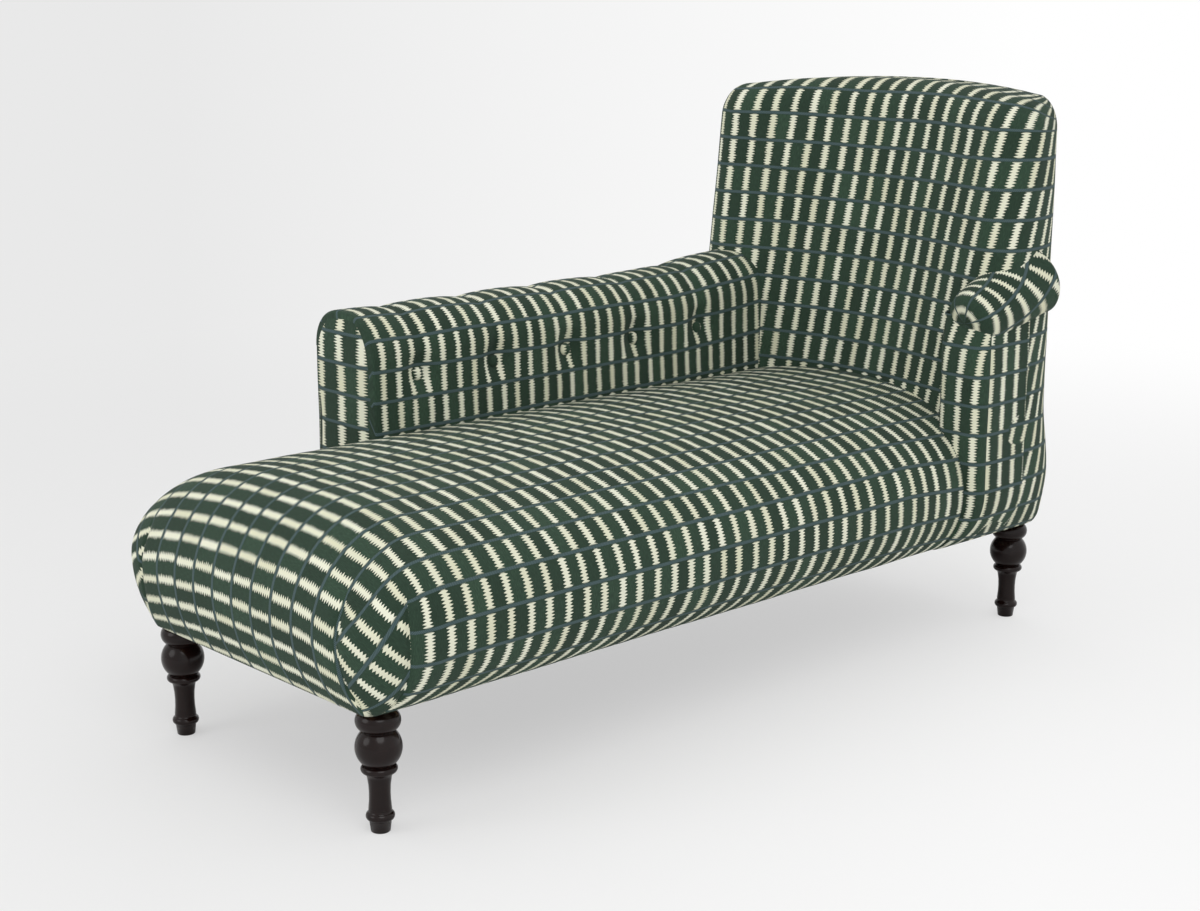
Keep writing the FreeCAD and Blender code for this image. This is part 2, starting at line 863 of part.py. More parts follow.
def main():
    holes = tenons(fixing_clearance)
    nodes = {}
    nodes.update(legs())
    nodes["hanger_bolts"] = hanger_bolts()
    nodes["leg_plates"] = leg_plates()
    nodes["corner_blocks"] = corner_blocks(holes)
    nodes.update(seat_rails(holes))
    nodes["rail_tenons"] = group(tenons(0))
    nodes["cross_brace_foot"] = cross_brace(-brace_offset)
    nodes["cross_brace_head"] = cross_brace(brace_offset)
    nodes["seat_webbing_across"] = webbing_across()
    nodes["seat_webbing_along"] = webbing_along()
    nodes["back_post_right"] = back_post()
    nodes["back_post_left"] = mirrored(back_post())
    nodes["back_top_rail"] = back_rail(post_top - top_rail_height, top_rail_height)
    nodes["back_middle_rail"] = back_rail(mid_rail_level, mid_rail_height)
    nodes["back_tacking_rail"] = back_rail(tacking_rail_level, tacking_rail_height)
    nodes["back_webbing"] = back_webbing()
    posts = [arm_post(first) for first in arm_post_starts()]
    nodes["long_arm_front_post"] = posts[0]
    nodes["long_arm_uprights"] = group(posts[1:])
    nodes["long_arm_top_rail"] = arm_top_rail()
    starts = arm_post_starts()
    nodes["long_arm_tacking_rail"] = mirrored(tacking_rail(starts[0], starts[-1] + arm_post_width))
    nodes["short_arm_front_post"] = stump_post(stump_post_first)
    nodes["short_arm_rear_post"] = stump_post(stump_post_second)
    nodes["short_arm_top_rail"] = short_arm_top_rail()
    nodes["short_arm_tacking_rail"] = tacking_rail(stump_post_first,
                                                   stump_post_second + stump_post_width)
    posts_down = [nodes["back_post_left"], nodes["back_post_right"]]
    nodes["seat_hessian"] = cut(seat_hessian(), posts_down)
    nodes["seat_webbing_along"] = cut(nodes["seat_webbing_along"], posts_down)
    nodes["bottoming_cloth"] = bottoming_cloth()
    frames = [nodes[name] for name in nodes if name.startswith(("back_", "long_", "short_"))]

    # Outer forms, the same forms grown by the seam gap, and their stuffing
    forms = {"seat": seat_form, "back": back_form, "long": long_arm_form, "short": short_arm_form}
    outer = {name: form(0.0) for name, form in forms.items()}
    hollow = {name: form(cover_thickness) for name, form in forms.items()}
    filled = {name: form(cover_thickness + soft_gap) for name, form in forms.items()}
    grown = {name: form(-seam_gap) for name, form in forms.items()}
    below = below_frame()
    for name in forms:
        outer[name] = outer[name].cut(below)
    outer["long"] = cut(outer["long"], tufts(0.0))
    hollow["long"] = cut(hollow["long"], tufts(cover_thickness))
    filled["long"] = cut(filled["long"], tufts(cover_thickness + soft_gap))
    others = {
        "seat": [grown["long"], grown["short"], grown["back"]],
        "back": [grown["long"], grown["short"]],
        "long": [],
        "short": [],
    }
    under = platform()
    covers = {}
    pads = {}
    for name in forms:
        covers[name] = cut(outer[name].cut(hollow[name]), others[name] + [under] + frames)
        pads[name] = main_piece(cut(filled[name], others[name] + [under, below] + frames))
    nodes["seat_pad"] = pads["seat"]
    nodes["back_pad"] = cut(pads["back"], [behind_back_webbing()])
    nodes["long_arm_pad"] = pads["long"]
    nodes["short_arm_pad"] = pads["short"]
    seam = seams()
    nodes["seat_cover"] = main_piece(covers["seat"])
    nodes["outside_back_cover"], inside = split(covers["back"], seam["outside_back"])
    nodes["inside_back_cover"] = main_piece(inside)
    nodes["long_arm_facing"], rest = split(covers["long"], seam["long_facing"])
    nodes["long_arm_outside_cover"], nodes["long_arm_cover"] = split(rest, seam["long_outside"])
    nodes["short_arm_facing"], rest = split(covers["short"], seam["short_facing"])
    nodes["short_arm_outside_cover"], nodes["short_arm_cover"] = split(rest, seam["short_outside"])
    nodes["arm_buttons"] = arm_buttons()
    save(nodes)


def save(nodes):
    # The finished model stands with its box centred on the origin.
    whole = group(list(nodes.values())).BoundBox
    move = Vector(-whole.Center.x, -whole.Center.y, -whole.ZMin)
    print("moved by", move, "box", whole.XLength, whole.YLength, whole.ZLength)
    os.makedirs("parts", exist_ok=True)
    for name in sorted(nodes):
        shape = nodes[name].translated(move)
        shape.exportStep("parts/" + name + ".step")
        solids = len(shape.Solids)
        print(name, solids, "solids", round(shape.Volume / 1000), "cm3", shape.isValid())


main()
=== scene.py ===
import json
import math
import bmesh
import bpy
import numpy as np
from mathutils import Euler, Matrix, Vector, noise


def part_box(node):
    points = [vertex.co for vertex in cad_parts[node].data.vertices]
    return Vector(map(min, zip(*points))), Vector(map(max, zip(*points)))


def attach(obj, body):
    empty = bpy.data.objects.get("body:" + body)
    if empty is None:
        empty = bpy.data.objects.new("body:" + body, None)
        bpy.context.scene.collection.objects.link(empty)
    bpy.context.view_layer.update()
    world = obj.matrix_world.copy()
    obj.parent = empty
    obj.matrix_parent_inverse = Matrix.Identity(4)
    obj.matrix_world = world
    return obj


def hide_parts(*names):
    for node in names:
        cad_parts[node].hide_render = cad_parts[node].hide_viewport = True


# A chaise longue: ikat cloth over a padded seat, back, long tufted arm and short scroll arm,
# on four turned legs. Sizes are in millimetres about the middle of the four legs.

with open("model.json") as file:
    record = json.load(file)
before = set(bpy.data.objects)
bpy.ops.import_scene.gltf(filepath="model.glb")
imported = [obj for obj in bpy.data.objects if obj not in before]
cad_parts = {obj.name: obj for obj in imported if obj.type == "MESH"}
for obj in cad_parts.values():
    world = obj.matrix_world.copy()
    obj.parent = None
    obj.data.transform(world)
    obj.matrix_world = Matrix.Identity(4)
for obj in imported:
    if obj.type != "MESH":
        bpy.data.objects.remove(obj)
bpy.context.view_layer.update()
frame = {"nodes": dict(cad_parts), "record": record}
nodes = frame["nodes"]


def middleOf(node):
    low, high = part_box(node)
    return (low + high) / 2


legNames = ("leg_foot_left", "leg_head_left", "leg_foot_right", "leg_head_right")
legMiddles = [middleOf(name) for name in legNames]
home = np.array(sum(legMiddles, Vector())) / len(legMiddles)
home[2] = 0
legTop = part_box("leg_foot_left")[1].z * 1000


def toScene(points):
    return np.asarray(points, float) / 1000 + home


def addObject(name, data):
    made = bpy.data.objects.new(name, data)
    bpy.context.scene.collection.objects.link(made)
    return made


def smooth(value):
    value = np.clip(value, 0, 1)
    return value * value * (3 - 2 * value)


# Colours are written as sRGB hex values

def linear(hexColour):
    parts = [int(hexColour[i:i + 2], 16) / 255 for i in (1, 3, 5)]
    return [p / 12.92 if p <= 0.04045 else ((p + 0.055) / 1.055) ** 2.4 for p in parts] + [1.0]


def addNode(tree, kind, inputs=None, **settings):
    node = tree.nodes.new("ShaderNode" + kind)
    for name, value in settings.items():
        setattr(node, name, value)
    for key, value in (inputs or {}).items():
        if isinstance(value, bpy.types.Node):
            tree.links.new(value.outputs[0], node.inputs[key])
        elif isinstance(value, bpy.types.NodeSocket):
            tree.links.new(value, node.inputs[key])
        else:
            node.inputs[key].default_value = value
    return node


def emptyTree(owner):
    # Node tree of a material or a world, without the nodes that it starts with.
    owner.use_nodes = True
    owner.node_tree.nodes.clear()
    return owner.node_tree


def newMaterial(name, shader):
    # Material with one principled shader, whose steady values are set on its own sockets.
    material = bpy.data.materials.new(name)
    tree = emptyTree(material)
    surface = addNode(tree, "BsdfPrincipled", shader)
    addNode(tree, "OutputMaterial", {"Surface": surface})
    return material, tree, surface


def grained(tree, surface, pitch, scale, detail, dark, light, strength, depth):
    # Two tones and a slight relief from one noise. pitch holds its repeats per metre in x, y and z.
    place = addNode(tree, "Mapping", {0: addNode(tree, "TexCoord").outputs["Object"], 3: pitch})
    grain = addNode(tree, "TexNoise", {"Vector": place, "Scale": scale, "Detail": detail})
    colour = addNode(tree, "ValToRGB", {0: grain.outputs[0]})
    colour.color_ramp.elements[0].color = linear(dark)
    colour.color_ramp.elements[1].color = linear(light)
    tree.links.new(colour.outputs[0], surface.inputs["Base Color"])
    bump = addNode(tree, "Bump", {"Strength": strength, "Distance": depth, "Height": grain.outputs[0]})
    tree.links.new(bump.outputs[0], surface.inputs["Normal"])


# Handwoven cotton ikat: cream threads that bleed at their dyed edges, a blue-green corded line
# across them, and bottle-green blocks that differ a little. It gives a dry, matt, uneven stripe.
ikat = {
    "stripePitch": 34.5, "stripeCore": 1.9, "stripeVary": 0.9, "stripeJog": 1.4,
    "toothPitch": 4.8, "toothDepth": 7.0, "edgeFeather": 0.4,
    "cordPitch": 49.5, "cordHalf": 2.4, "cordGap": 2.5,
    "threadPitch": 1.5,  # real threads are 0.5 mm apart, drawn coarser so that they show
    "cream": "#e9ead6", "creamWarm": "#dadabf", "cord": "#566a6c", "cordTwist": "#2f3f3f",
    "groundDark": "#253429", "groundMiddle": "#2f4235", "groundLight": "#405a46",
    "toothLeast": 0.65, "breakSoft": 2.2, "cordSoft": 0.5, "twistPitch": 1.5, "twistDepth": 0.6,
    "blockSpread": 0.4, "dyeSpread": 1.1, "dyeLow": -0.3, "dyeAcross": 0.9, "dyeAlong": 0.12, "dyeKey": 7.0,
    "dyeDetail": 3.0, "roughness": 0.9, "specular": 0.1, "sheen": 0.05, "sheenSpread": 0.6,
    "bump": 0.0011, "bumpStrength": 0.7, "weaveHeight": 0.35,
}


def ikatCloth():
    k = ikat
    material, tree, surface = newMaterial("handwoven_cotton_ikat", {
        "Roughness": k["roughness"], "Specular IOR Level": k["specular"],
        "Sheen Weight": k["sheen"], "Sheen Roughness": k["sheenSpread"]})
    place = addNode(tree, "SeparateXYZ", {0: addNode(tree, "UVMap", uv_map="cloth")})
    across = addNode(tree, "Math", {0: place.outputs[0], 1: 1000}, operation="MULTIPLY")
    along = addNode(tree, "Math", {0: place.outputs[1], 1: 1000}, operation="MULTIPLY")

    # Which stripe, which cell between two cords, and what differs from one to the next
    stripes = addNode(tree, "Math", {0: across, 1: k["stripePitch"]}, operation="DIVIDE")
    stripe = addNode(tree, "Math", {0: stripes}, operation="ROUND")
    cells = addNode(tree, "Math", {0: along, 1: k["cordPitch"]}, operation="DIVIDE")
    cell = addNode(tree, "Math", {0: cells}, operation="FLOOR")
    pick = addNode(tree, "TexWhiteNoise", {0: addNode(tree, "CombineXYZ", {0: stripe, 1: cell})})
    lot = addNode(tree, "SeparateXYZ", {0: pick.outputs["Color"]})
    jogPart = addNode(tree, "Math", {0: lot.outputs[0], 1: 0.5}, operation="SUBTRACT")
    jog = addNode(tree, "Math", {0: jogPart, 1: 2 * k["stripeJog"]}, operation="MULTIPLY")
    middle = addNode(tree, "Math", {0: stripe, 1: k["stripePitch"], 2: jog}, operation="MULTIPLY_ADD")
    offset = addNode(tree, "Math", {0: across, 1: middle}, operation="SUBTRACT")
    side = addNode(tree, "Math", {0: offset}, operation="SIGN")
    away = addNode(tree, "Math", {0: offset}, operation="ABSOLUTE")

    # Bled edge: a tooth for every few threads, each of its own length
    teeth = addNode(tree, "Math", {0: along, 1: k["toothPitch"]}, operation="DIVIDE")
    tooth = addNode(tree, "Math", {0: teeth}, operation="FLOOR")
    toothKey = addNode(tree, "CombineXYZ", {0: stripe, 1: tooth, 2: side})
    toothPick = addNode(tree, "TexWhiteNoise", {0: toothKey})
    wave = addNode(tree, "Math", {0: teeth, 1: 0.5}, operation="PINGPONG")
    spike = addNode(tree, "Math", {0: wave, 1: 2.0}, operation="MULTIPLY")
    share = addNode(tree, "Math", {
        0: toothPick.outputs["Value"], 1: 1 - k["toothLeast"], 2: k["toothLeast"]}, operation="MULTIPLY_ADD")
    reach = addNode(tree, "Math", {0: spike, 1: share}, operation="MULTIPLY")
    vary = addNode(tree, "Math", {0: lot.outputs[1], 1: k["stripeVary"], 2: k["stripeCore"]},
                   operation="MULTIPLY_ADD")
    half = addNode(tree, "Math", {0: reach, 1: k["toothDepth"], 2: vary}, operation="MULTIPLY_ADD")
    inside = addNode(tree, "Math", {0: half, 1: away}, operation="SUBTRACT")
    creamEdge = addNode(tree, "MapRange", {0: inside, 1: -k["edgeFeather"], 2: k["edgeFeather"]},
                        interpolation_type="SMOOTHSTEP")

    # Distance to the nearest cord, where the cream breaks off
    turn = addNode(tree, "Math", {0: cells, 1: 0.5}, operation="PINGPONG")
    cordFar = addNode(tree, "Math", {0: turn, 1: k["cordPitch"]}, operation="MULTIPLY")
    breakOff = addNode(tree, "MapRange", {0: cordFar, 1: k["cordGap"], 2: k["cordGap"] + k["breakSoft"]})
    cream = addNode(tree, "Math", {0: creamEdge, 1: breakOff}, operation="MULTIPLY")
    cord = addNode(tree, "MapRange", {
        0: cordFar, 1: k["cordHalf"] + k["cordSoft"], 2: k["cordHalf"] - k["cordSoft"]})

    # Ground blocks, with uneven dye along the threads
    block = addNode(tree, "Math", {0: stripes}, operation="FLOOR")
    blockKey = addNode(tree, "CombineXYZ", {0: block, 1: cell, 2: k["dyeKey"]})
    blockPick = addNode(tree, "TexWhiteNoise", {0: blockKey})
    threadPlace = addNode(tree, "CombineXYZ", {
        0: addNode(tree, "Math", {0: across, 1: k["dyeAcross"]}, operation="MULTIPLY"),
        1: addNode(tree, "Math", {0: along, 1: k["dyeAlong"]}, operation="MULTIPLY")})
    dye = addNode(tree, "TexNoise", {"Vector": threadPlace, "Scale": 1.0, "Detail": k["dyeDetail"]})
    tone = addNode(tree, "Math", {0: dye.outputs[0], 1: k["dyeSpread"], 2: k["dyeLow"]},
                   operation="MULTIPLY_ADD")
    toned = addNode(tree, "Math", {0: blockPick.outputs["Value"], 1: k["blockSpread"], 2: tone},
                    operation="MULTIPLY_ADD")
    ground = addNode(tree, "ValToRGB", {0: toned})
    ramp = ground.color_ramp
    ramp.elements[0].color = linear(k["groundDark"])
    ramp.elements[1].color = linear(k["groundLight"])
    ramp.elements.new(0.5).color = linear(k["groundMiddle"])

    # Cream over the ground, and the twisted cord over both
    creamTone = addNode(tree, "Mix", {
        0: lot.outputs[2], 6: linear(k["cream"]), 7: linear(k["creamWarm"])}, data_type="RGBA")
    striped = addNode(tree, "Mix", {0: cream, 6: ground, 7: creamTone.outputs[2]}, data_type="RGBA")
    slant = addNode(tree, "Math", {0: across, 1: along}, operation="ADD")
    twist = addNode(tree, "Math", {0: slant, 1: k["twistPitch"]}, operation="PINGPONG")
    twisted = addNode(tree, "Mix", {
        0: addNode(tree, "Math", {0: twist, 1: k["twistDepth"]}, operation="MULTIPLY"),
        6: linear(k["cord"]), 7: linear(k["cordTwist"])}, data_type="RGBA")
    lined = addNode(tree, "Mix", {
        0: cord, 6: striped.outputs[2], 7: twisted.outputs[2]}, data_type="RGBA")
    tree.links.new(lined.outputs[2], surface.inputs["Base Color"])

    # Raised cord and plain weave
    warp = addNode(tree, "Math", {0: across, 1: k["threadPitch"] / 2}, operation="PINGPONG")
    weft = addNode(tree, "Math", {0: along, 1: k["threadPitch"] / 2}, operation="PINGPONG")
    weave = addNode(tree, "Math", {0: warp, 1: weft}, operation="ADD")
    lift = addNode(tree, "Math", {0: weave, 1: k["weaveHeight"], 2: cord}, operation="MULTIPLY_ADD")
    bump = addNode(tree, "Bump", {"Strength": k["bumpStrength"], "Distance": k["bump"], "Height": lift})
    tree.links.new(bump.outputs[0], surface.inputs["Normal"])
    return material


# Beech stained espresso and hand-polished under lacquer: near black, with small sharp highlights
lacquer = {
    "dark": "#0e0605", "light": "#1c0d0a", "roughness": 0.22, "ior": 1.5, "specular": 0.2, "coat": 0.12,
    "coatRoughness": 0.1, "grainWidth": 2.4, "grainStretch": 14.0, "grainScale": 0.35,
    "grainDetail": 4.0, "bump": 0.0002, "bumpStrength": 0.15,
}


def lacqueredBeech():
    k = lacquer
    material, tree, surface = newMaterial("lacquered_espresso_beech", {
        "Roughness": k["roughness"], "IOR": k["ior"], "Specular IOR Level": k["specular"],
        "Coat Weight": k["coat"], "Coat Roughness": k["coatRoughness"]})
    fine = 1000 / k["grainWidth"]
    grained(tree, surface, (fine, fine, fine / k["grainStretch"]), k["grainScale"], k["grainDetail"],
            k["dark"], k["light"], k["bumpStrength"], k["bump"])
    return material


# What is under the cloth: planed pale beech with a soft grain, coarse tan jute and hessian, matt black
# bottoming cloth, off-white cotton felt and dull grey plated steel
hidden = {
    "frame_timber": {"name": "planed_beech", "dark": "#b98f63", "light": "#cfa87a",
                     "roughness": 0.62, "grain": 3.0, "stretch": 12.0},
    "jute_webbing": {"name": "woven_jute_webbing", "dark": "#9c8258", "light": "#c2a878",
                     "roughness": 0.9, "grain": 1.8, "stretch": 1.0},
    "hessian": {"name": "woven_hessian", "dark": "#9d8761", "light": "#bfa77c",
                "roughness": 0.92, "grain": 1.4, "stretch": 1.0},
    "bottoming_cloth": {"name": "spunbonded_bottoming_cloth", "dark": "#17181a", "light": "#26282b",
                        "roughness": 0.88, "grain": 0.9, "stretch": 1.0},
    "stuffing": {"name": "cotton_felt_stuffing", "dark": "#d9d2bf", "light": "#ece6d6",
                 "roughness": 0.95, "grain": 6.0, "stretch": 1.0},
    "zinc_steel": {"name": "zinc_plated_steel", "dark": "#a9adb0", "light": "#c9cdd0",
                   "roughness": 0.38, "grain": 0.5, "stretch": 1.0},
}
hiddenGrain = {"detail": 3.0, "bump": 0.0005, "bumpStrength": 0.4}


def hiddenMaterial(name, dark, light, roughness, grain, stretch):
    # The grain or thread has its width in millimetres, and is drawn out along y by the stretch.
    k = hiddenGrain
    metal = 1.0 if "steel" in name else 0.0
    material, tree, surface = newMaterial(name, {"Roughness": roughness, "Metallic": metal})
    fine = 1000 / grain
    grained(tree, surface, (fine, fine / stretch, fine), 1.0, k["detail"], dark, light, k["bumpStrength"],
            k["bump"])
    return material


clothMaterial = ikatCloth()
legMaterial = lacqueredBeech()
hiddenMaterials = {slot: hiddenMaterial(**values) for slot, values in hidden.items()}
print("materials made")


# Meshes as grids of points with their place on the flat cloth
weldGap = 0.00002
onAxis = 0.01
noise.seed_set(7)  # without it the noise follows the clock, and every run gives another cloth


def ripple(points, size, height):
    # Slight unevenness of stuffing under cloth.
    for row in points.reshape(-1, 3):
        row += noise.noise_vector(Vector(row / size)) * height


def quadCorners(grid, axis):
    # The four corners of each quad of a grid, in order round it.
    return np.stack([grid[:-1, :-1], grid[:-1, 1:], grid[1:, 1:], grid[1:, :-1]], axis)


def clothGrid(name, points, flat, breaks=None, close=True, material=None):
    # Quads between rows of points. flat holds each point's place on the cloth, in millimetres, and
    # breaks gives another place for the corners of some columns of quads, where a pleat parts them.
    rows, columns = points.shape[:2]
    mesh = bpy.data.meshes.new(name)
    index = np.arange(rows * columns).reshape(rows, columns)
    quads = quadCorners(index, -1)
    mesh.from_pydata(toScene(points).reshape(-1, 3).tolist(), [], quads.reshape(-1, 4).tolist())
    flats = quadCorners(flat, -2)
    for first, last, other in breaks or []:
        flats[:, first:last] = quadCorners(other[:, first:last + 1], -2)
    layer = mesh.uv_layers.new(name="cloth")
    layer.data.foreach_set("uv", (flats.reshape(-1) / 1000).astype(np.float32))
    form = bmesh.new()
    form.from_mesh(mesh)
    bmesh.ops.remove_doubles(form, verts=form.verts, dist=weldGap)
    if close:
        bmesh.ops.holes_fill(form, edges=form.edges, sides=0)
    bmesh.ops.recalc_face_normals(form, faces=form.faces)
    for face in form.faces:
        face.smooth = True
    form.to_mesh(mesh)
    form.free()
    piece = addObject(name, mesh)
    mesh.materials.append(material or clothMaterial)
    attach(piece, "root")
    return piece


def lengths(points, axis):
    # Running length along an axis of a grid of points.
    steps = np.linalg.norm(np.diff(points, axis=axis), axis=-1)
    return np.concatenate([np.zeros_like(steps.take([0], axis)), np.cumsum(steps, axis)], axis)


def arcAngles(first, last, count):
    return np.radians(np.linspace(first, last, count))


# Seat: crowned top, rolled foot, sides drawn in to the frame, two pleats at each foot corner
seat = {
    "halfWidth": 348.0, "headHalfWidth": 334.0, "taperFrom": 296.0, "taperTo": 456.0,
    "foot": -775.0, "head": 560.0, "corner": 104.0, "bulge": 285.0, "crown": 437.0,
    "footRoll": 150.0, "fullness": 2.57, "sideTuck": 74.0, "footTuck": 33.0, "baseHalf": 274.0,
    "spineFrom": 330.0, "rollDepth": 90.0, "pleatTop": (2.0, 65.0), "pleatBase": (24.0, 68.0),
    "pleatDepth": 4.5, "pleatWidth": 4.0, "pleatFade": 34.0, "pleatEase": 60.0, "pleatFrom": 0.46,
    "foldWidth": 16.0, "foldShare": 0.6, "baseSquare": (14.0, 55.0), "foldEnd": 30.0, "underTurn": 8.0,
    "underGap": 0.6, "angleGrowth": 3, "squareGrowth": 4, "cornerWay": -0.707, "ripple": (110, 1.3),
    "sideStep": 9.0, "cornerColumns": (16, 40, 6), "footColumns": 30, "fieldRows": 26, "rollRows": 26,
    "bandRows": 22,
}


def seatHalfAt(y):
    k = seat
    share = np.clip((y - k["taperFrom"]) / (k["taperTo"] - k["taperFrom"]), 0, 1)
    return k["halfWidth"] + (k["headHalfWidth"] - k["halfWidth"]) * share


def seatTop(x, y):
    # Height of the top over a place in plan.
    k = seat
    run = np.maximum(y - k["foot"], 0)
    along = np.minimum(run, k["corner"])
    half = seatHalfAt(y) - k["corner"] + np.sqrt(2 * k["corner"] * along - along ** 2)
    back = np.minimum(run, k["footRoll"])
    rise = np.sqrt(2 * k["footRoll"] * back - back ** 2) / k["footRoll"]
    wide = np.clip(np.abs(x) / half, 0, 1)
    domed = (1 - wide ** k["fullness"]) ** (1 / k["fullness"])
    return k["bulge"] + (k["crown"] - k["bulge"]) * rise * domed


def seatAround(pleatAngles, side=0.0, foot=0.0, square=(0.0, 0.0)):
    # Half outline in plan from the head to the middle of the foot: places, outward directions and the
    # count of places before the corner. Towards the base it is drawn in, and its corner gets squarer.
    k = seat
    low, high = pleatAngles
    centreX = k["halfWidth"] - k["corner"] + square[0]
    centreY = k["foot"] + k["corner"] - square[1]
    count = int((k["head"] - k["foot"] - k["corner"]) / k["sideStep"])
    ys = np.linspace(k["head"], centreY, count)[:-1]
    marks = (90, high, low, 0)
    angles = [np.linspace(marks[i], marks[i + 1], k["cornerColumns"][i] + 1)[:-1] for i in range(3)]
    turns = np.radians(np.concatenate(angles + [[0.0]]))
    xs = np.linspace(centreX, 0, k["footColumns"])[1:]
    halves = seatHalfAt(ys)
    halves = halves - side * (halves - k["baseHalf"]) / (k["halfWidth"] - k["baseHalf"])
    wide = k["corner"] - side - square[0]
    deep = k["corner"] - foot - square[1]
    edge = np.concatenate([
        np.stack([halves, ys], -1),
        np.stack([centreX + wide * np.sin(turns), centreY - deep * np.cos(turns)], -1),
        np.stack([xs, np.full_like(xs, k["foot"] + foot)], -1)])
    out = np.concatenate([
        np.tile([1.0, 0.0], (len(ys), 1)),
        np.stack([np.sin(turns), -np.cos(turns)], -1),
        np.tile([0.0, -1.0], (len(xs), 1))])
    return edge, out, len(ys)


def bothHalves(half, flip):
    # The half and its mirror image, joined at their last column.
    other = half[:, ::-1].copy()
    other[..., flip] *= -1
    return np.concatenate([half, other[:, 1:]], 1)


def makeSeat():
    k = seat
    edge, out, start = seatAround(k["pleatTop"])
    spine = np.stack([np.zeros(len(edge)), np.maximum(edge[:, 1], k["foot"] + k["spineFrom"])], -1)
    inner = edge - out * k["rollDepth"]
    rows = [spine + (inner - spine) * share for share in np.linspace(0, 1, k["fieldRows"])[:-1]]
    for turn in arcAngles(0, 90, k["rollRows"]):
        rows.append(edge - out * k["rollDepth"] * (1 - math.sin(turn)))
    plan = np.stack(rows)
    top = np.concatenate([plan, seatTop(plan[..., 0], plan[..., 1])[..., None]], -1)
    extra = lengths(top, 0) - lengths(plan, 0)
    topFlat = plan + out * extra[..., None]

    # Below the bulge the cloth is drawn in to the frame
    drop = k["bulge"] - legTop
    sideRadius = (k["sideTuck"] ** 2 + drop ** 2) / (2 * k["sideTuck"])
    footRadius = (k["footTuck"] ** 2 + drop ** 2) / (2 * k["footTuck"])
    band, ways = [], []
    for share in np.linspace(0, 1, k["bandRows"])[1:]:
        down = drop * share
        angles = [a + (b - a) * share ** k["angleGrowth"] for a, b in zip(k["pleatTop"], k["pleatBase"])]
        side = sideRadius - math.sqrt(sideRadius ** 2 - down ** 2)
        foot = footRadius - math.sqrt(footRadius ** 2 - down ** 2)
        square = np.array(k["baseSquare"]) * share ** k["squareGrowth"]
        around, way = seatAround(angles, side, foot, square)[:2]
        band.append(np.concatenate([around, np.full((len(around), 1), k["bulge"] - down)], -1))
        ways.append(way)
    points = np.concatenate([top, np.stack(band)])
    ways = np.concatenate([np.tile(out, (len(top), 1, 1)), np.stack(ways)])
    downLength = lengths(points[len(top) - 1:], 0)[1:]
    flat = np.concatenate([topFlat, topFlat[-1] + ways[len(top):] * downLength[..., None]])

    # At the corner the fullness goes into two pleats. The side, the corner and the foot are three
    # stretches of cloth, each laid straight from the row where the pleats begin.
    first = k["fieldRows"] - 1 + int(k["pleatFrom"] * k["rollRows"])
    high = start + k["cornerColumns"][0]
    low = high + k["cornerColumns"][1]
    end = low + k["cornerColumns"][2]
    middle = (high + low) // 2
    around = lengths(points, 1)
    fallen = lengths(points[first:], 0)
    fallen = np.concatenate([np.zeros((first, points.shape[1])), fallen])
    ease = smooth(fallen / k["pleatEase"])[..., None]
    stretches = []
    for column, way in ((start, (0, -1)), (middle, (k["cornerWay"], k["cornerWay"])), (end, (-1, 0))):
        apart = around - around[:, column:column + 1]
        laid = flat[:, column:column + 1] + apart[..., None] * np.array(way)
        stretches.append(flat * (1 - ease) + laid * ease)

    # Folds that stand over the corner stretch
    depth = smooth(fallen / k["pleatFade"]) * smooth((points[..., 2] - legTop) / k["foldEnd"])
    for column, inward in ((high, 1), (low, -1)):
        apart = (around - around[:, column:column + 1]) * inward
        groove = np.exp(-(apart / k["pleatWidth"]) ** 2)
        beside = np.where(apart > 0, np.exp(-apart / k["foldWidth"]), 0) * k["foldShare"]
        points[..., :2] -= ways * ((groove + beside) * depth * k["pleatDepth"])[..., None]

    under = points[-1:].copy()
    under[..., :2] -= out * k["underTurn"]
    under[..., 2] = legTop + k["underGap"]
    shut = under.copy()
    shut[..., :2] = spine
    points = bothHalves(np.concatenate([points, under, shut]), 0)
    ripple(points[:-3], *k["ripple"])
    flats = []
    for part in [flat] + stretches:
        tail = part[-1:] + out * k["underTurn"]
        flats.append(bothHalves(np.concatenate([part, tail, tail + out]), 0)[..., ::-1])
    total = points.shape[1] - 1
    breaks = []
    for a, b, other in ((start, high, flats[1]), (high, low, flats[2]), (low, end, flats[3])):
        breaks += [(a, b, other), (total - b, total - a, other)]
    piece = clothGrid("seatUpholstery", points, flats[0], breaks)
    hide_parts("seat_cover", "seat_pad")


makeSeat()
print("seat made")

# Back: hollow front that leans, rounded wings and top; its outside panel is sewn on behind
back = {
    "halfWidth": 359.0, "baseHalfWidth": 280.0, "bulge": 290.0, "frontLow": 484.0, "leanFrom": 406.0,
    "lean": 0.122, "leanTop": 911.0, "hollow": 56.8, "flat": 303.0, "hollowPower": 1.35,
    "wingNose": 60.0, "topNose": 52.0, "topCorner": 58.0, "shoulder": 940.0, "top": 959.0,
    "seam": 690.0, "rear": 751.0, "rearCorner": 166.0, "lowCorner": 140.0, "baseCorner": 22.0,
    "cornerRun": 130.0, "cornerDraw": 2.5, "baseTuck": 8.0, "rearRoll": 52.0, "seamTuck": 5.0,
    "spineTo": 640.0, "clothLean": 0.1, "clothFan": 0.07, "ripple": (130, 1.6),
    "sideStep": 10.0, "cornerTurn": 86, "cornerColumns": 18, "topColumns": 30,
    "fieldRows": 26, "noseRows": 16, "bandRows": 14,
    "panelGap": 1.0, "panelTuck": 4.0, "panelRim": 22, "panelRows": 14, "panelSpread": 1.6,
    "panelRipple": (150, 1.0),
}


def bow(wide, narrow, level, z):
    # Half width at a height below the bulge, on an arc that is upright at the bulge.
    rise = level - legTop
    radius = ((wide - narrow) ** 2 + rise ** 2) / (2 * (wide - narrow))
    below = np.clip(level - z, 0, rise)
    return wide - radius + np.sqrt(radius ** 2 - below ** 2)


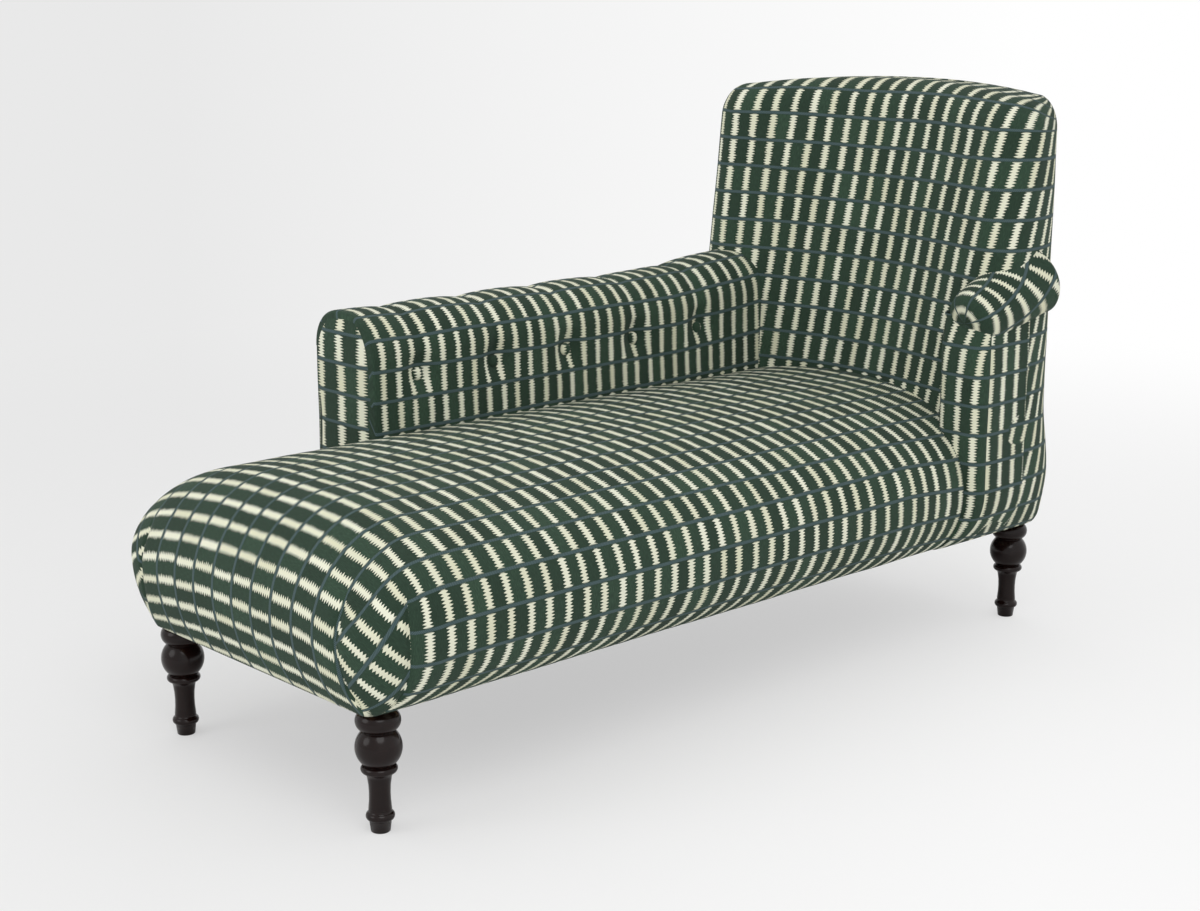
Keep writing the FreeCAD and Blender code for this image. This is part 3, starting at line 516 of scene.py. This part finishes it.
def backAround():
    # Half outline from the floor end of the wing to the middle of the top, in x and z.
    k = back
    corner = k["topCorner"]
    zs = np.arange(legTop, k["shoulder"] - corner, k["sideStep"])
    turns = arcAngles(0, k["cornerTurn"], k["cornerColumns"])
    flat = k["halfWidth"] - corner
    xs = np.linspace(flat, 0, k["topColumns"])[1:]
    bulge = k["top"] - k["shoulder"]
    edge = np.concatenate([
        np.stack([bow(k["halfWidth"], k["baseHalfWidth"], k["bulge"], zs), zs], -1),
        np.stack([flat + corner * np.cos(turns), k["shoulder"] - corner + corner * np.sin(turns)], -1),
        np.stack([xs, k["shoulder"] + bulge * (1 - (xs / flat) ** 2)], -1)])
    slope = 2 * bulge * xs / flat ** 2
    out = np.concatenate([
        np.tile([1.0, 0.0], (len(zs), 1)),
        np.stack([np.cos(turns), np.sin(turns)], -1),
        np.stack([slope, np.ones_like(xs)], -1) / np.sqrt(1 + slope ** 2)[:, None]])
    return edge, out


def tucked(row, out, depth):
    # Copy of a row of the outline, drawn in by a depth.
    made = row.copy()
    made[..., 0] -= out[:, 0] * depth
    made[..., 2] -= out[:, 1] * depth
    return made


def frontAt(x, z):
    # Distance of the hollow, leaning front from the middle of the legs.
    k = back
    lean = k["frontLow"] + k["lean"] * (np.minimum(z, k["leanTop"]) - k["leanFrom"])
    within = np.clip(1 - (x / k["flat"]) ** 2, 0, 1)
    return lean + k["hollow"] * within ** k["hollowPower"]


def sideInset(y, z):
    # The rear corner is wide above and square at the base, where it goes round the frame.
    k = back
    share = np.clip((z - legTop) / (k["bulge"] - legTop), 0, 1)
    lower = k["baseCorner"] + (k["lowCorner"] - k["baseCorner"]) * (1 - (1 - share) ** 3)
    radius = lower + (k["rearCorner"] - k["lowCorner"]) * smooth((z - k["bulge"]) / k["cornerRun"])
    past = np.clip(y - (k["rear"] - radius), 0, radius)
    return radius - np.sqrt(radius ** 2 - past ** 2)


def topInset(y):
    k = back
    past = np.clip(y - (k["rear"] - k["rearRoll"]), 0, k["rearRoll"])
    return k["rearRoll"] - np.sqrt(k["rearRoll"] ** 2 - past ** 2)


def drawnIn(edge, out, y):
    # Outline at a distance from the front: the rear corners round it in at the sides and the top.
    place = edge.copy()
    drawn = np.where(edge[:, 1] < back["bulge"], 1.0, edge[:, 0] / back["halfWidth"])
    place[:, 0] -= sideInset(y, edge[:, 1]) * drawn ** back["cornerDraw"]
    place[:, 1] -= topInset(y) * out[:, 1]
    return place


def makeInsideBack():
    k = back
    edge, out = backAround()
    spine = np.stack([np.zeros(len(edge)), np.minimum(edge[:, 1], k["spineTo"])], -1)
    nose = k["wingNose"] * out[:, 0] ** 2 + k["topNose"] * out[:, 1] ** 2
    inner = edge - out * nose[:, None]
    rows, depths = [], []
    for share in np.linspace(0, 1, k["fieldRows"])[:-1]:
        place = spine + (inner - spine) * share
        rows.append(place)
        depths.append(frontAt(place[:, 0], place[:, 1]))
    for turn in arcAngles(0, 90, k["noseRows"]):
        place = edge - out * (nose * (1 - math.sin(turn)))[:, None]
        rows.append(place)
        depths.append(frontAt(place[:, 0], place[:, 1]) + nose * (1 - math.cos(turn)))
    plan = np.stack(rows)
    depth = np.stack(depths)
    front = np.stack([plan[..., 0], depth, plan[..., 1]], -1)
    extra = lengths(front, 0) - lengths(plan, 0)
    frontFlat = plan + out * extra[..., None]
    band = []
    for share in np.linspace(0, 1, k["bandRows"])[1:]:
        y = depth[-1] + (k["seam"] - depth[-1]) * share
        place = drawnIn(edge, out, y)
        band.append(np.stack([place[:, 0], y, place[:, 1]], -1))
    band = np.stack(band)
    bandLength = lengths(np.concatenate([front[-1:], band]), 0)[1:]
    bandFlat = frontFlat[-1] + out * bandLength[..., None]
    points = np.concatenate([front, band])
    tuck = tucked(points[-1:], out, k["seamTuck"])
    shut = tuck.copy()
    shut[..., 0] = spine[:, 0]
    shut[..., 2] = spine[:, 1]
    points = bothHalves(np.concatenate([points, tuck, shut]), 0)
    ripple(points[:-2], *k["ripple"])
    tail = bandFlat[-1:] + out * k["seamTuck"]
    flat = bothHalves(np.concatenate([frontFlat, bandFlat, tail, tail]), 0)
    leaning = k["clothLean"] + k["clothFan"] * flat[..., 0] / k["halfWidth"]
    flat[..., 0] -= (flat[..., 1] - k["leanFrom"]) * leaning
    piece = clothGrid("insideBack", points, flat)
    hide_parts("inside_back_cover", "back_pad")


def makeOutsideBack():
    # Panel behind the seam: round the rear corners first, then flat to the middle.
    k = back
    edge, out = backAround()
    spine = np.stack([np.zeros(len(edge)), np.minimum(edge[:, 1], k["spineTo"])], -1)
    rows = []
    first = k["seam"] + k["panelGap"]
    for turn in arcAngles(0, 90, k["panelRim"]):
        y = first + (k["rear"] - first) * math.sin(turn)
        last = drawnIn(edge, out, y)
        rows.append(np.stack([last[:, 0], np.full(len(last), y), last[:, 1]], -1))
    for share in np.linspace(0, 1, k["panelRows"])[1:]:
        place = last + (spine - last) * share
        rows.append(np.stack([place[:, 0], np.full(len(place), k["rear"]), place[:, 1]], -1))
    points = np.stack(rows)
    points[..., 1] -= smooth((k["bulge"] - points[..., 2]) / (k["bulge"] - legTop)) * k["baseTuck"]
    tuck = tucked(points[:1], out, k["panelTuck"])
    points = bothHalves(np.concatenate([tuck, points]), 0)
    ripple(points, *k["panelRipple"])
    inward = lengths(points, 0)
    half = inward[-1:] - inward
    flat = np.stack([points[..., 0], points[..., 2]], -1)
    middle = np.stack([0 * flat[..., 0], np.minimum(flat[..., 1], k["spineTo"])], -1)
    straight = np.maximum(np.linalg.norm(flat - middle, axis=-1), 1)
    share = np.where(np.abs(flat[..., 0]) > 1, half / straight, 1)
    flat[..., 0] *= np.clip(share, 1, k["panelSpread"])
    piece = clothGrid("outsideBack", points, flat, close=False)
    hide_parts("outside_back_cover")


makeInsideBack()
makeOutsideBack()
print("back made")

# Long arm: rolled top, five buttons that pull the padding in, pleats from them over the top
arm = {
    "outer": 360.5, "inner": 203.0, "base": 280.0, "bulge": 290.0, "front": -369.0, "rear": 585.0,
    "top": 614.0, "rearTop": 638.0, "riseFrom": 300.0, "outerRoll": 62.0, "innerRoll": 74.0,
    "innerCrown": 8.0, "innerFoot": 330.0, "frontRound": 5.0, "liftFrom": 380.0, "liftRun": 160.0,
    "pitchSpread": 1.12, "firstStripe": 14.0, "hem": 8.0,
    "edgeSteps": (0.0, 1.0, 3.0), "edgeRun": 6.0, "step": 5.0, "profileStep": 5.0,
    "puff": 2.5, "puffLow": 40.0, "puffRun": 80.0, "puffSeam": 60.0, "ripple": (90, 1.2),
    "pleatDepth": 2.6, "pleatWidth": 6.5, "pleatPower": 1.4, "pleatStart": 26.0, "pleatSeam": 8.0,
    "pleatRun": 50.0, "hollowDepth": 1.2, "hollowWidth": 26.0,
}
armFacing = {"lap": 1.0, "edgeGap": 0.8, "crown": 4.5, "crownRun": 34.0, "spread": 0.62, "shiftX": 18.0,
             "shiftZ": 12.0, "step": 8.0, "topRows": 26, "columns": 31, "ripple": (80, 0.8)}
armPanel = {"frontGap": 2.0, "topGap": 1.0, "seamDepth": 3.0, "shiftZ": 97.0, "stepY": 9.0, "stepZ": 7.0,
            "ripple": (120, 1.0)}
button = {"count": 5, "first": -275.0, "pitch": 160.0, "level": 513.0, "radius": 11.0, "thickness": 8.0,
          "edge": 1.6, "foot": 0.9, "dome": 0.8, "domeRows": 9, "turns": 24, "shiftZ": 6.0,
          "tuftRadius": 44.0, "tuftDepth": 14.0, "tuftPower": 1.15}


def armProfile():
    # From the outside seam over the top and down the inner face, in x and z, with outward directions.
    k = arm
    out, roll, high = k["outerRoll"], k["innerRoll"], k["top"]
    quarter = math.pi / 2 / k["profileStep"]
    places, ways = [], []
    for turn in arcAngles(180, 90, int(out * quarter)):
        places.append((out - k["outer"] + out * math.cos(turn), high - out + out * math.sin(turn)))
        ways.append((math.cos(turn), math.sin(turn)))
    for turn in arcAngles(90, 0, int(roll * quarter)):
        places.append((-k["inner"] - roll + roll * math.cos(turn), high - roll + roll * math.sin(turn)))
        ways.append((math.cos(turn), math.sin(turn)))
    middle = (legTop + high - roll) / 2
    half = high - roll - middle
    for z in np.arange(high - roll, k["innerFoot"], -k["profileStep"])[1:]:
        places.append((-k["inner"] + k["innerCrown"] * (1 - ((z - middle) / half) ** 2), z))
        ways.append((1.0, 0.0))
    return np.array(places), np.array(ways)


def armLift(y, z):
    # The upper part of the arm rises towards the back.
    k = arm
    rise = (k["rearTop"] - k["top"]) * np.clip((y - k["riseFrom"]) / (k["rear"] - k["riseFrom"]), 0, 1)
    return rise * smooth((z - k["liftFrom"]) / k["liftRun"])


def buttonYs():
    return [button["first"] + button["pitch"] * i for i in range(button["count"])]


def makeLongArm():
    k, b = arm, button
    profile, ways = armProfile()
    ys = np.concatenate([k["front"] + np.array(k["edgeSteps"]),
                         np.arange(k["front"] + k["edgeRun"], k["rear"], k["step"]), [k["rear"]]])
    points = np.zeros((len(profile), len(ys), 3))
    points[..., 0] = profile[:, None, 0]
    points[..., 1] = ys
    points[..., 2] = profile[:, None, 1] + armLift(ys, profile[:, None, 1])
    along = lengths(points, 0)[:, 0]
    way = np.stack([ways[:, 0], np.zeros(len(ways)), ways[:, 1]], -1)[:, None]
    push = np.zeros(points.shape[:2])
    face = profile[:, 0] > -k["inner"] - k["innerRoll"]
    atButton = along[face][np.argmin(np.abs(profile[face, 1] - b["level"]))]
    upward = atButton - along
    over = smooth(upward / k["pleatStart"]) * smooth((along - k["pleatSeam"]) / k["pleatRun"])
    for y in buttonYs():
        aside = ys[None] - y
        apart = np.hypot(aside, (along - atButton)[:, None])
        push -= b["tuftDepth"] * (1 - smooth(apart / b["tuftRadius"])) ** b["tuftPower"]
        fold = np.exp(-np.abs(aside / k["pleatWidth"]) ** k["pleatPower"])
        hollow = np.exp(-(aside / k["hollowWidth"]) ** 2)
        push -= (k["pleatDepth"] * fold + k["hollowDepth"] * hollow) * over[:, None]
    swell = np.abs(np.sin(np.pi * (ys - b["first"]) / b["pitch"]))
    full = smooth((upward + k["puffLow"]) / k["puffRun"]) * smooth(along / k["puffSeam"])
    push += k["puff"] * swell * full[:, None]
    ahead = np.clip(k["frontRound"] - (ys - k["front"]), 0, k["frontRound"])
    push -= k["frontRound"] - np.sqrt(k["frontRound"] ** 2 - ahead ** 2)
    points += way * push[..., None]
    ripple(points, *k["ripple"])
    run = (ys - k["front"]) * k["pitchSpread"] + k["firstStripe"]
    flat = np.stack([np.tile(run, (len(profile), 1)), np.tile(-along[:, None], (1, len(ys)))], -1)

    # Back under the seat and up behind the outside panel
    base = points[-1:].copy()
    base[..., 0] = k["hem"] - k["outer"]
    side = points[:1].copy()
    side[..., 0] += k["hem"]
    points = np.concatenate([points, base, side, points[:1]])
    flat = np.concatenate([flat, flat[-1:], flat[-1:], flat[-1:]])
    piece = clothGrid("longArm", points, flat)
    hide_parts("long_arm_cover", "long_arm_pad")


def rollEdge(radius, inset, zs, centreZ):
    # Half width of a roll at heights above its centre, for an outline that is drawn in.
    above = np.clip(zs - centreZ, 0, None)
    return np.sqrt(np.maximum((radius - inset) ** 2 - above ** 2, 0))


def makeLongArmFacing():
    # Front panel between the outer and the inner outline of the arm, slightly crowned.
    k, f = arm, armFacing
    out, roll, high = k["outerRoll"], k["innerRoll"], k["top"]
    inset = k["frontRound"] - f["lap"]
    rounded = high - inset - (roll - inset) * (1 - np.sin(arcAngles(0, 90, f["topRows"])))
    zs = np.unique(np.round(np.concatenate([np.arange(legTop, high - roll, f["step"]), rounded]), 3))
    left = np.where(zs > high - out, -k["outer"] + out - rollEdge(out, inset, zs, high - out),
                    -bow(k["outer"], k["base"], k["bulge"], zs) + inset)
    right = np.where(zs > high - roll, -k["inner"] - roll + rollEdge(roll, inset, zs, high - roll),
                     -k["inner"] - inset)
    shares = np.linspace(-1, 1, f["columns"])
    points = np.zeros((len(zs), len(shares), 3))
    points[..., 0] = (left + right)[:, None] / 2 + (right - left)[:, None] / 2 * shares
    edgeGap = (1 - np.abs(shares)) * (right - left)[:, None] / 2
    topGap = np.clip(high - inset - zs, 0, None)[:, None]
    near = np.minimum(edgeGap, topGap)
    points[..., 1] = k["front"] + f["edgeGap"] - f["crown"] * smooth(near / f["crownRun"])
    points[..., 2] = zs[:, None]
    ripple(points, *f["ripple"])
    across = (points[..., 0] + k["outer"] - f["shiftX"]) * f["spread"]
    flat = np.stack([across, points[..., 2] + f["shiftZ"]], -1)
    piece = clothGrid("longArmFacing", points, flat, close=False)
    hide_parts("long_arm_facing")


def makeLongArmOutside():
    # Outside panel under the roll, drawn in to the frame, with a sewn edge.
    k, p = arm, armPanel
    ys = np.arange(k["front"] + p["frontGap"], k["rear"] + 0.1, p["stepY"])
    zs = np.append(np.arange(k["top"] - k["outerRoll"] - p["topGap"], legTop, -p["stepZ"]), legTop)
    points = np.zeros((len(zs), len(ys), 3))
    points[..., 0] = -bow(k["outer"], k["base"], k["bulge"], zs)[:, None]
    points[..., 1] = ys
    points[..., 2] = zs[:, None] + armLift(ys, zs[:, None])
    ends = np.minimum(ys - ys[0], ys[-1] - ys)[None]
    edgeGap = np.minimum(ends, (zs[0] - zs)[:, None])
    points[..., 0] += p["seamDepth"] * np.exp(-edgeGap / p["seamDepth"])
    ripple(points, *p["ripple"])
    down = lengths(points, 0)[:, :1]
    flat = np.stack([points[..., 1], np.tile(-down, (1, len(ys))) - p["shiftZ"]], -1)
    piece = clothGrid("longArmOutside", points, flat, close=False)
    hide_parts("long_arm_outside_cover")


def turnedForm(profile, turns):
    # Rings of a lathe form: profile holds radius and height pairs.
    angle = np.linspace(0, 2 * math.pi, turns + 1)
    profile = np.array(profile)
    radius = profile[:, :1]
    return np.stack([radius * np.cos(angle), radius * np.sin(angle),
                     np.tile(profile[:, 1:], (1, turns + 1))], -1)


def makeButtons():
    # Cloth-covered buttons, domed, seated in the tufts.
    b = button
    profile = [(b["radius"] * b["foot"], 0.0), (b["radius"], b["edge"])]
    for turn in arcAngles(0, 90, b["domeRows"])[1:-1]:
        profile.append((b["radius"] * math.cos(turn) ** b["dome"],
                        b["edge"] + (b["thickness"] - b["edge"]) * math.sin(turn)))
    profile.append((onAxis, b["thickness"]))
    form = turnedForm(profile, b["turns"])
    startX = (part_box("arm_buttons")[0].x - home[0]) * 1000
    for number, y in enumerate(buttonYs()):
        points = np.stack([form[..., 2] + startX, form[..., 1] + y, -form[..., 0] + b["level"]], -1)
        flat = np.stack([points[..., 1], points[..., 2] + b["shiftZ"]], -1)
        clothGrid("armButton" + str(number + 1), points, flat)
    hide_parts("arm_buttons")


makeLongArm()
makeLongArmFacing()
makeLongArmOutside()
makeButtons()
print("long arm made")

# Short arm: a stump with a rounded front, and a scroll on top that widens to the back
stump = {
    "inner": 263.0, "outer": 360.0, "front": 456.0, "corner": 28.0, "rear": 585.0, "base": 280.0,
    "bulge": 290.0, "top": 588.0, "step": 5.0, "stepZ": 7.0, "cornerColumns": 12,
    "bendFrom": 520.0, "frontTuck": 8.0, "seamDepth": 2.6, "ripple": (100, 1.0),
    "rim": 280.0, "leanFrom": 440.0, "lean": 900.0, "outsideShift": 11.0,
}
scroll = {
    "front": (320.0, 462.0, 577.0), "rear": (333.0, 640.0, 644.0), "frontRadius": 46.0, "rearRadius": 64.0,
    "noseDepth": 22.0, "noseCrown": 3.0, "noseFrom": 6, "noseRows": 14, "nosePower": 0.72,
    "tail": 30.0, "tailRows": 9, "tailPower": 0.7, "turns": 64, "rows": 34,
    "seam": 215.0, "fanRadius": 235.0, "fanFrom": 18.0, "roundGirth": 52.0, "ripple": (90, 1.0),
}


def stumpAround():
    # Outline in plan from the inner rear round the front to the outer rear, with outward directions.
    k = stump
    inner, outer, corner, front = k["inner"], k["outer"], k["corner"], k["front"]
    ys = np.arange(k["rear"], front + corner, -k["step"])
    places = [(inner, y) for y in ys]
    ways = [(-1.0, 0.0)] * len(ys)

    def addCorner(centreX, first):
        for turn in arcAngles(first, first + 90, k["cornerColumns"]):
            places.append((centreX + corner * math.cos(turn), front + corner + corner * math.sin(turn)))
            ways.append((math.cos(turn), math.sin(turn)))

    addCorner(inner + corner, 180)
    for x in np.arange(inner + corner, outer - corner, k["step"])[1:]:
        places.append((x, front))
        ways.append((0.0, -1.0))
    addCorner(outer - corner, 270)
    seamAt = len(places) - 1
    for y in ys[::-1]:
        places.append((outer, y))
        ways.append((1.0, 0.0))
    return np.array(places), np.array(ways), seamAt


def makeStump():
    k = stump
    around, ways, seamAt = stumpAround()
    zs = np.append(np.arange(k["top"], legTop, -k["stepZ"]), legTop)
    points = np.zeros((len(zs), len(around), 3))
    pulled = k["outer"] - bow(k["outer"], k["base"], k["bulge"], zs)
    share = np.clip((around[:, 0] - k["inner"]) / (k["outer"] - k["inner"]), 0, 1)
    points[..., 0] = around[:, 0] - pulled[:, None] * share
    points[..., 1] = around[:, 1]
    points[..., 2] = zs[:, None]
    bend = smooth((zs[:, None] - k["bendFrom"]) / (k["top"] - k["bendFrom"]))
    length = lengths(points, 1)[:1]
    down = lengths(points, 0)[:, seamAt:seamAt + 1]
    flat = np.stack([np.tile(length, (len(zs), 1)), np.tile(-down, (1, len(around)))], -1)
    apart = np.abs(length - length[0, seamAt])
    points[..., :2] -= ways * (k["seamDepth"] * np.exp(-apart / k["seamDepth"]))[..., None]
    points[..., 1] -= ways[:, 1] * bend * k["frontTuck"]
    ripple(points, *k["ripple"])

    # The stripes of the facing are counted from the inner rim of the scroll, and lean out above
    rim = int(np.argmin(np.abs(around[:seamAt] - [k["rim"], k["front"]]).sum(1)))
    rise = np.clip(points[:, :seamAt + 1, 2] - k["leanFrom"], 0, None)
    front = flat[:, :seamAt + 1].copy()
    front[..., 0] = length[0, rim] - front[..., 0] + rise ** 2 / k["lean"]
    facing = clothGrid("shortArmFacing", points[:, :seamAt + 1], front, close=False)
    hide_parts("short_arm_facing")
    shifted = flat[:, seamAt:] + [k["outsideShift"], 0]
    outside = clothGrid("shortArmOutside", points[:, seamAt:], shifted, close=False)
    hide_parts("short_arm_outside_cover")


def makeScroll():
    k = scroll
    start = np.array(k["front"])
    way = np.array(k["rear"]) - start
    length = np.linalg.norm(way)
    way /= length
    right = np.cross(way, [0, 0, 1.0])
    right /= np.linalg.norm(right)
    up = np.cross(right, way)
    nose, crown, wide = k["noseDepth"], k["noseCrown"], k["frontRadius"]
    profile = [(onAxis, -crown)]
    for turn in arcAngles(k["noseFrom"], 90, k["noseRows"]):
        run = nose * (1 - math.cos(turn)) - crown * math.cos(turn)
        profile.append((wide * math.sin(turn) ** k["nosePower"], run))
    rim = len(profile) - 1
    for share in np.linspace(0, 1, k["rows"])[1:]:
        run = nose + (length - nose - k["tail"]) * share
        profile.append((wide + (k["rearRadius"] - wide) * run / length, run))
    for turn in arcAngles(0, 90, k["tailRows"])[1:]:
        profile.append((k["rearRadius"] * max(math.cos(turn), onAxis) ** k["tailPower"],
                        length - k["tail"] + k["tail"] * math.sin(turn)))
    turned = math.radians(k["seam"]) - np.linspace(0, 2 * math.pi, k["turns"] + 1)
    radius = np.array(profile)[:, :1]
    aside = (radius * np.cos(turned))[..., None]
    above = (radius * np.sin(turned))[..., None]
    runs = np.array(profile)[:, 1:, None]
    points = start + aside * right + above * up + runs * way

    # The cloth is laid in rings on the nose, and fans over the roll from its inner front
    along = lengths(points, 0)[:, :1]
    past = along - along[rim]
    girth = (math.radians(k["seam"]) - turned) * k["roundGirth"] + k["fanFrom"]
    fan = np.arctan2(np.maximum(past, 0), girth) * k["fanRadius"]
    reach = np.where(past > 0, np.hypot(past, girth), girth)
    flat = np.stack([np.minimum(past, 0) + fan, reach], -1)
    ripple(points, *k["ripple"])
    piece = clothGrid("shortArm", points, flat)
    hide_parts("short_arm_cover", "short_arm_pad")


makeStump()
makeScroll()
print("short arm made")

# Turned legs: tapered toe, bead, waisted stem, ring, ball and flattened bun. Plain stretches are radius and
# height pairs. Rounds have a centre, a level, a radius, the first and last angle and a count of points.
leg = {
    "height": 178.0, "turns": 64, "topRadius": 18.9, "flatFrom": 0.98,
    "toe": ((12.9, 0.0), (13.6, 0.8), (15.6, 16.5)),
    "bead": (13.8, 22.9, 6.4, -65, 70, 10),
    "stem": ((16.3, 33.0), (15.1, 46.0), (14.9, 57.0), (15.4, 68.0), (17.0, 79.0), (18.6, 85.4)),
    "ring": (20.0, 91.5, 5.6, -80, 80, 12),
    "ball": (0.0, 122.8, 32.8, -53.8, 46.5, 22),
    "bun": (15.9, 161.2, 15.7, -66, 78, 16),
}


def roundPoints(centre, level, radius, first, last, count):
    turns = arcAngles(first, last, count)
    return [(centre + radius * math.cos(turn), level + radius * math.sin(turn)) for turn in turns]


def makeLegs():
    k = leg
    profile = [(onAxis, 0.0)] + list(k["toe"]) + roundPoints(*k["bead"]) + list(k["stem"])
    for name in ("ring", "ball", "bun"):
        profile += roundPoints(*k[name])
    profile += [(k["topRadius"], k["height"]), (onAxis, k["height"])]
    form = turnedForm(profile, k["turns"])
    for name in legNames:
        middle = middleOf(name)
        points = form + (np.array(middle) - home) * [1000, 1000, 0]
        flat = points[..., :2] * 0
        piece = clothGrid("turned_" + name, points, flat, material=legMaterial)
        for face in piece.data.polygons:
            face.use_smooth = abs(face.normal.z) < k["flatFrom"]
        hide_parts(name)


makeLegs()
print("legs made")

# Bottoming cloth: stapled flat under the frame, left open round the leg tops
bottom = {"legHole": 20.0, "step": 12.0, "sag": 1.2, "sagRun": 200.0, "gap": 0.6}


def makeBottomingCloth():
    low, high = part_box("bottoming_cloth")
    lowest = (np.array(low) - home) * 1000
    highest = (np.array(high) - home) * 1000
    holes = [(np.array(middle) - home)[:2] * 1000 for middle in legMiddles]
    marks = []
    for axis in (0, 1):
        spots = list(np.arange(lowest[axis], highest[axis], bottom["step"])) + [highest[axis]]
        for hole in holes:
            spots += [hole[axis] - bottom["legHole"], hole[axis] + bottom["legHole"]]
        marks.append(np.unique(np.round([s for s in spots if lowest[axis] <= s <= highest[axis]], 2)))
    xs, ys = marks
    index, places, faces = {}, [], []
    for i in range(len(xs) - 1):
        for j in range(len(ys) - 1):
            middle = np.array([(xs[i] + xs[i + 1]) / 2, (ys[j] + ys[j + 1]) / 2])
            if any(np.all(np.abs(middle - hole) < bottom["legHole"]) for hole in holes):
                continue
            face = []
            for a, b in ((i, j), (i + 1, j), (i + 1, j + 1), (i, j + 1)):
                if (a, b) not in index:
                    index[a, b] = len(places)
                    inX = min(xs[a] - xs[0], xs[-1] - xs[a]) / bottom["sagRun"]
                    level = highest[2] - bottom["gap"] - bottom["sag"] * smooth(inX)
                    places.append((xs[a], ys[b], level))
                face.append(index[a, b])
            faces.append(face)
    mesh = bpy.data.meshes.new("bottomingCloth")
    mesh.from_pydata(toScene(places).tolist(), [], faces)
    mesh.materials.append(hiddenMaterials["bottoming_cloth"])
    piece = addObject("bottomingCloth", mesh)
    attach(piece, "root")
    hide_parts("bottoming_cloth")


makeBottomingCloth()

# What is inside keeps its own meshes and gets the finish of its slot
for subpart in frame["record"]["subparts"]:
    material = hiddenMaterials.get(subpart["material_slot"])
    if material and subpart["node"] in nodes:
        nodes[subpart["node"]].data.materials.clear()
        nodes[subpart["node"]].data.materials.append(material)
print("inner pieces finished")

# Floor, light and camera
studio = {
    "left": "#e9e9e9", "right": "#ffffff", "toneReach": 0.2, "sideways": (0.6777, 0.7353, 0.0),
    "floor": "#f2f2f2", "floorRadius": 9.0, "floorSides": 96,
    "fadeFrom": 1.5, "fadeTo": 3.6, "shadowFill": 0.55, "worldLight": 0.8,
    "eye": (2.3667, -2.2513, 1.1575), "down": 13.48, "turn": 47.34, "lens": 61.59, "sensor": 36, "reach": 60,
}
lamps = {
    "keyLamp": {"place": (2.6, -1.6, 3.4), "aim": (0, 0, 0.4), "size": 2.6, "power": 42},
    "footLamp": {"place": (-0.8, -3.6, 1.8), "aim": (0, 0, 0.4), "size": 2.0, "power": 20},
}


def backgroundTone(tree, sight):
    # Pale grey at the left to white at the right, by the direction in which the camera looks.
    along = addNode(tree, "VectorMath", {0: sight, 1: studio["sideways"]}, operation="DOT_PRODUCT")
    share = addNode(tree, "MapRange", {
        0: along.outputs["Value"], 1: -studio["toneReach"], 2: studio["toneReach"]})
    return addNode(tree, "Mix", {0: share, 6: linear(studio["left"]), 7: linear(studio["right"])},
                   data_type="RGBA").outputs[2]


def makeWorld():
    # The camera and clear reflections see the backdrop, and the object is lit by an even white.
    world = bpy.data.worlds.new("studioWorld")
    bpy.context.scene.world = world
    tree = emptyTree(world)
    rays = addNode(tree, "LightPath")
    shown = addNode(tree, "Math", {0: rays.outputs["Is Camera Ray"], 1: rays.outputs["Is Glossy Ray"]},
                    operation="MAXIMUM")
    shown = addNode(tree, "Math", {0: shown, 1: rays.outputs["Is Transmission Ray"]}, operation="MAXIMUM")
    tone = backgroundTone(tree, addNode(tree, "TexCoord").outputs["Generated"])
    seen = addNode(tree, "Background", {0: tone, 1: 1.0})
    light = addNode(tree, "Background", {0: (1, 1, 1, 1), 1: studio["worldLight"]})
    mixed = addNode(tree, "MixShader", {0: shown, 1: light, 2: seen})
    addNode(tree, "OutputWorld", {0: mixed})


def makeFloor():
    # Paper that takes a soft shadow near the object and fades into the background further out. For camera
    # rays at least 0.55 of it is emission in the background tone, a painted glow that lightens the shadow.
    mesh = bpy.data.meshes.new("studioFloor")
    form = bmesh.new()
    bmesh.ops.create_circle(form, cap_ends=True, segments=studio["floorSides"],
                            radius=studio["floorRadius"])
    form.to_mesh(mesh)
    form.free()
    floor = addObject("studioFloor", mesh)
    material = bpy.data.materials.new("matt_studio_paper")
    tree = emptyTree(material)
    place = addNode(tree, "NewGeometry").outputs["Position"]
    sight = addNode(tree, "VectorMath", {0: place, 1: studio["eye"]}, operation="SUBTRACT")
    sight = addNode(tree, "VectorMath", {0: sight}, operation="NORMALIZE")
    tone = backgroundTone(tree, sight)
    paper = addNode(tree, "BsdfDiffuse", {0: linear(studio["floor"])})
    # Emission in the background tone: a painted glow, which near the object lightens the floor's shadow for
    # camera rays
    paintedGlow = addNode(tree, "Emission", {0: tone, 1: 1.0})
    away = addNode(tree, "VectorMath", {0: place}, operation="LENGTH")
    distance = {0: away.outputs["Value"], 1: studio["fadeFrom"], 2: studio["fadeTo"], 3: studio["shadowFill"]}
    fade = addNode(tree, "MapRange", distance, interpolation_type="SMOOTHSTEP")
    rays = addNode(tree, "LightPath")
    shown = addNode(tree, "Math", {0: rays.outputs["Is Camera Ray"], 1: fade}, operation="MULTIPLY")
    mixed = addNode(tree, "MixShader", {0: shown, 1: paper, 2: paintedGlow})
    addNode(tree, "OutputMaterial", {"Surface": mixed})
    mesh.materials.append(material)


def makeLamp(name, place, aim, size, power):
    lamp = bpy.data.lights.new(name, "AREA")
    lamp.shape = "DISK"
    lamp.size = size
    lamp.energy = power
    holder = addObject(name, lamp)
    holder.location = place
    holder.rotation_euler = (Vector(aim) - Vector(place)).to_track_quat("-Z", "Y").to_euler()


def makeCamera():
    camera = bpy.data.cameras.new("camera")
    camera.sensor_fit = "HORIZONTAL"
    camera.sensor_width = studio["sensor"]
    camera.lens = studio["lens"]
    camera.clip_end = studio["reach"]
    holder = addObject("camera", camera)
    holder.location = studio["eye"]
    holder.rotation_euler = Euler((math.radians(90 - studio["down"]), 0, math.radians(studio["turn"])))
    bpy.context.scene.camera = holder


makeWorld()
makeFloor()
for name, values in lamps.items():
    makeLamp(name, **values)
makeCamera()
bpy.context.scene.view_settings.view_transform = "Standard"
print("studio made")
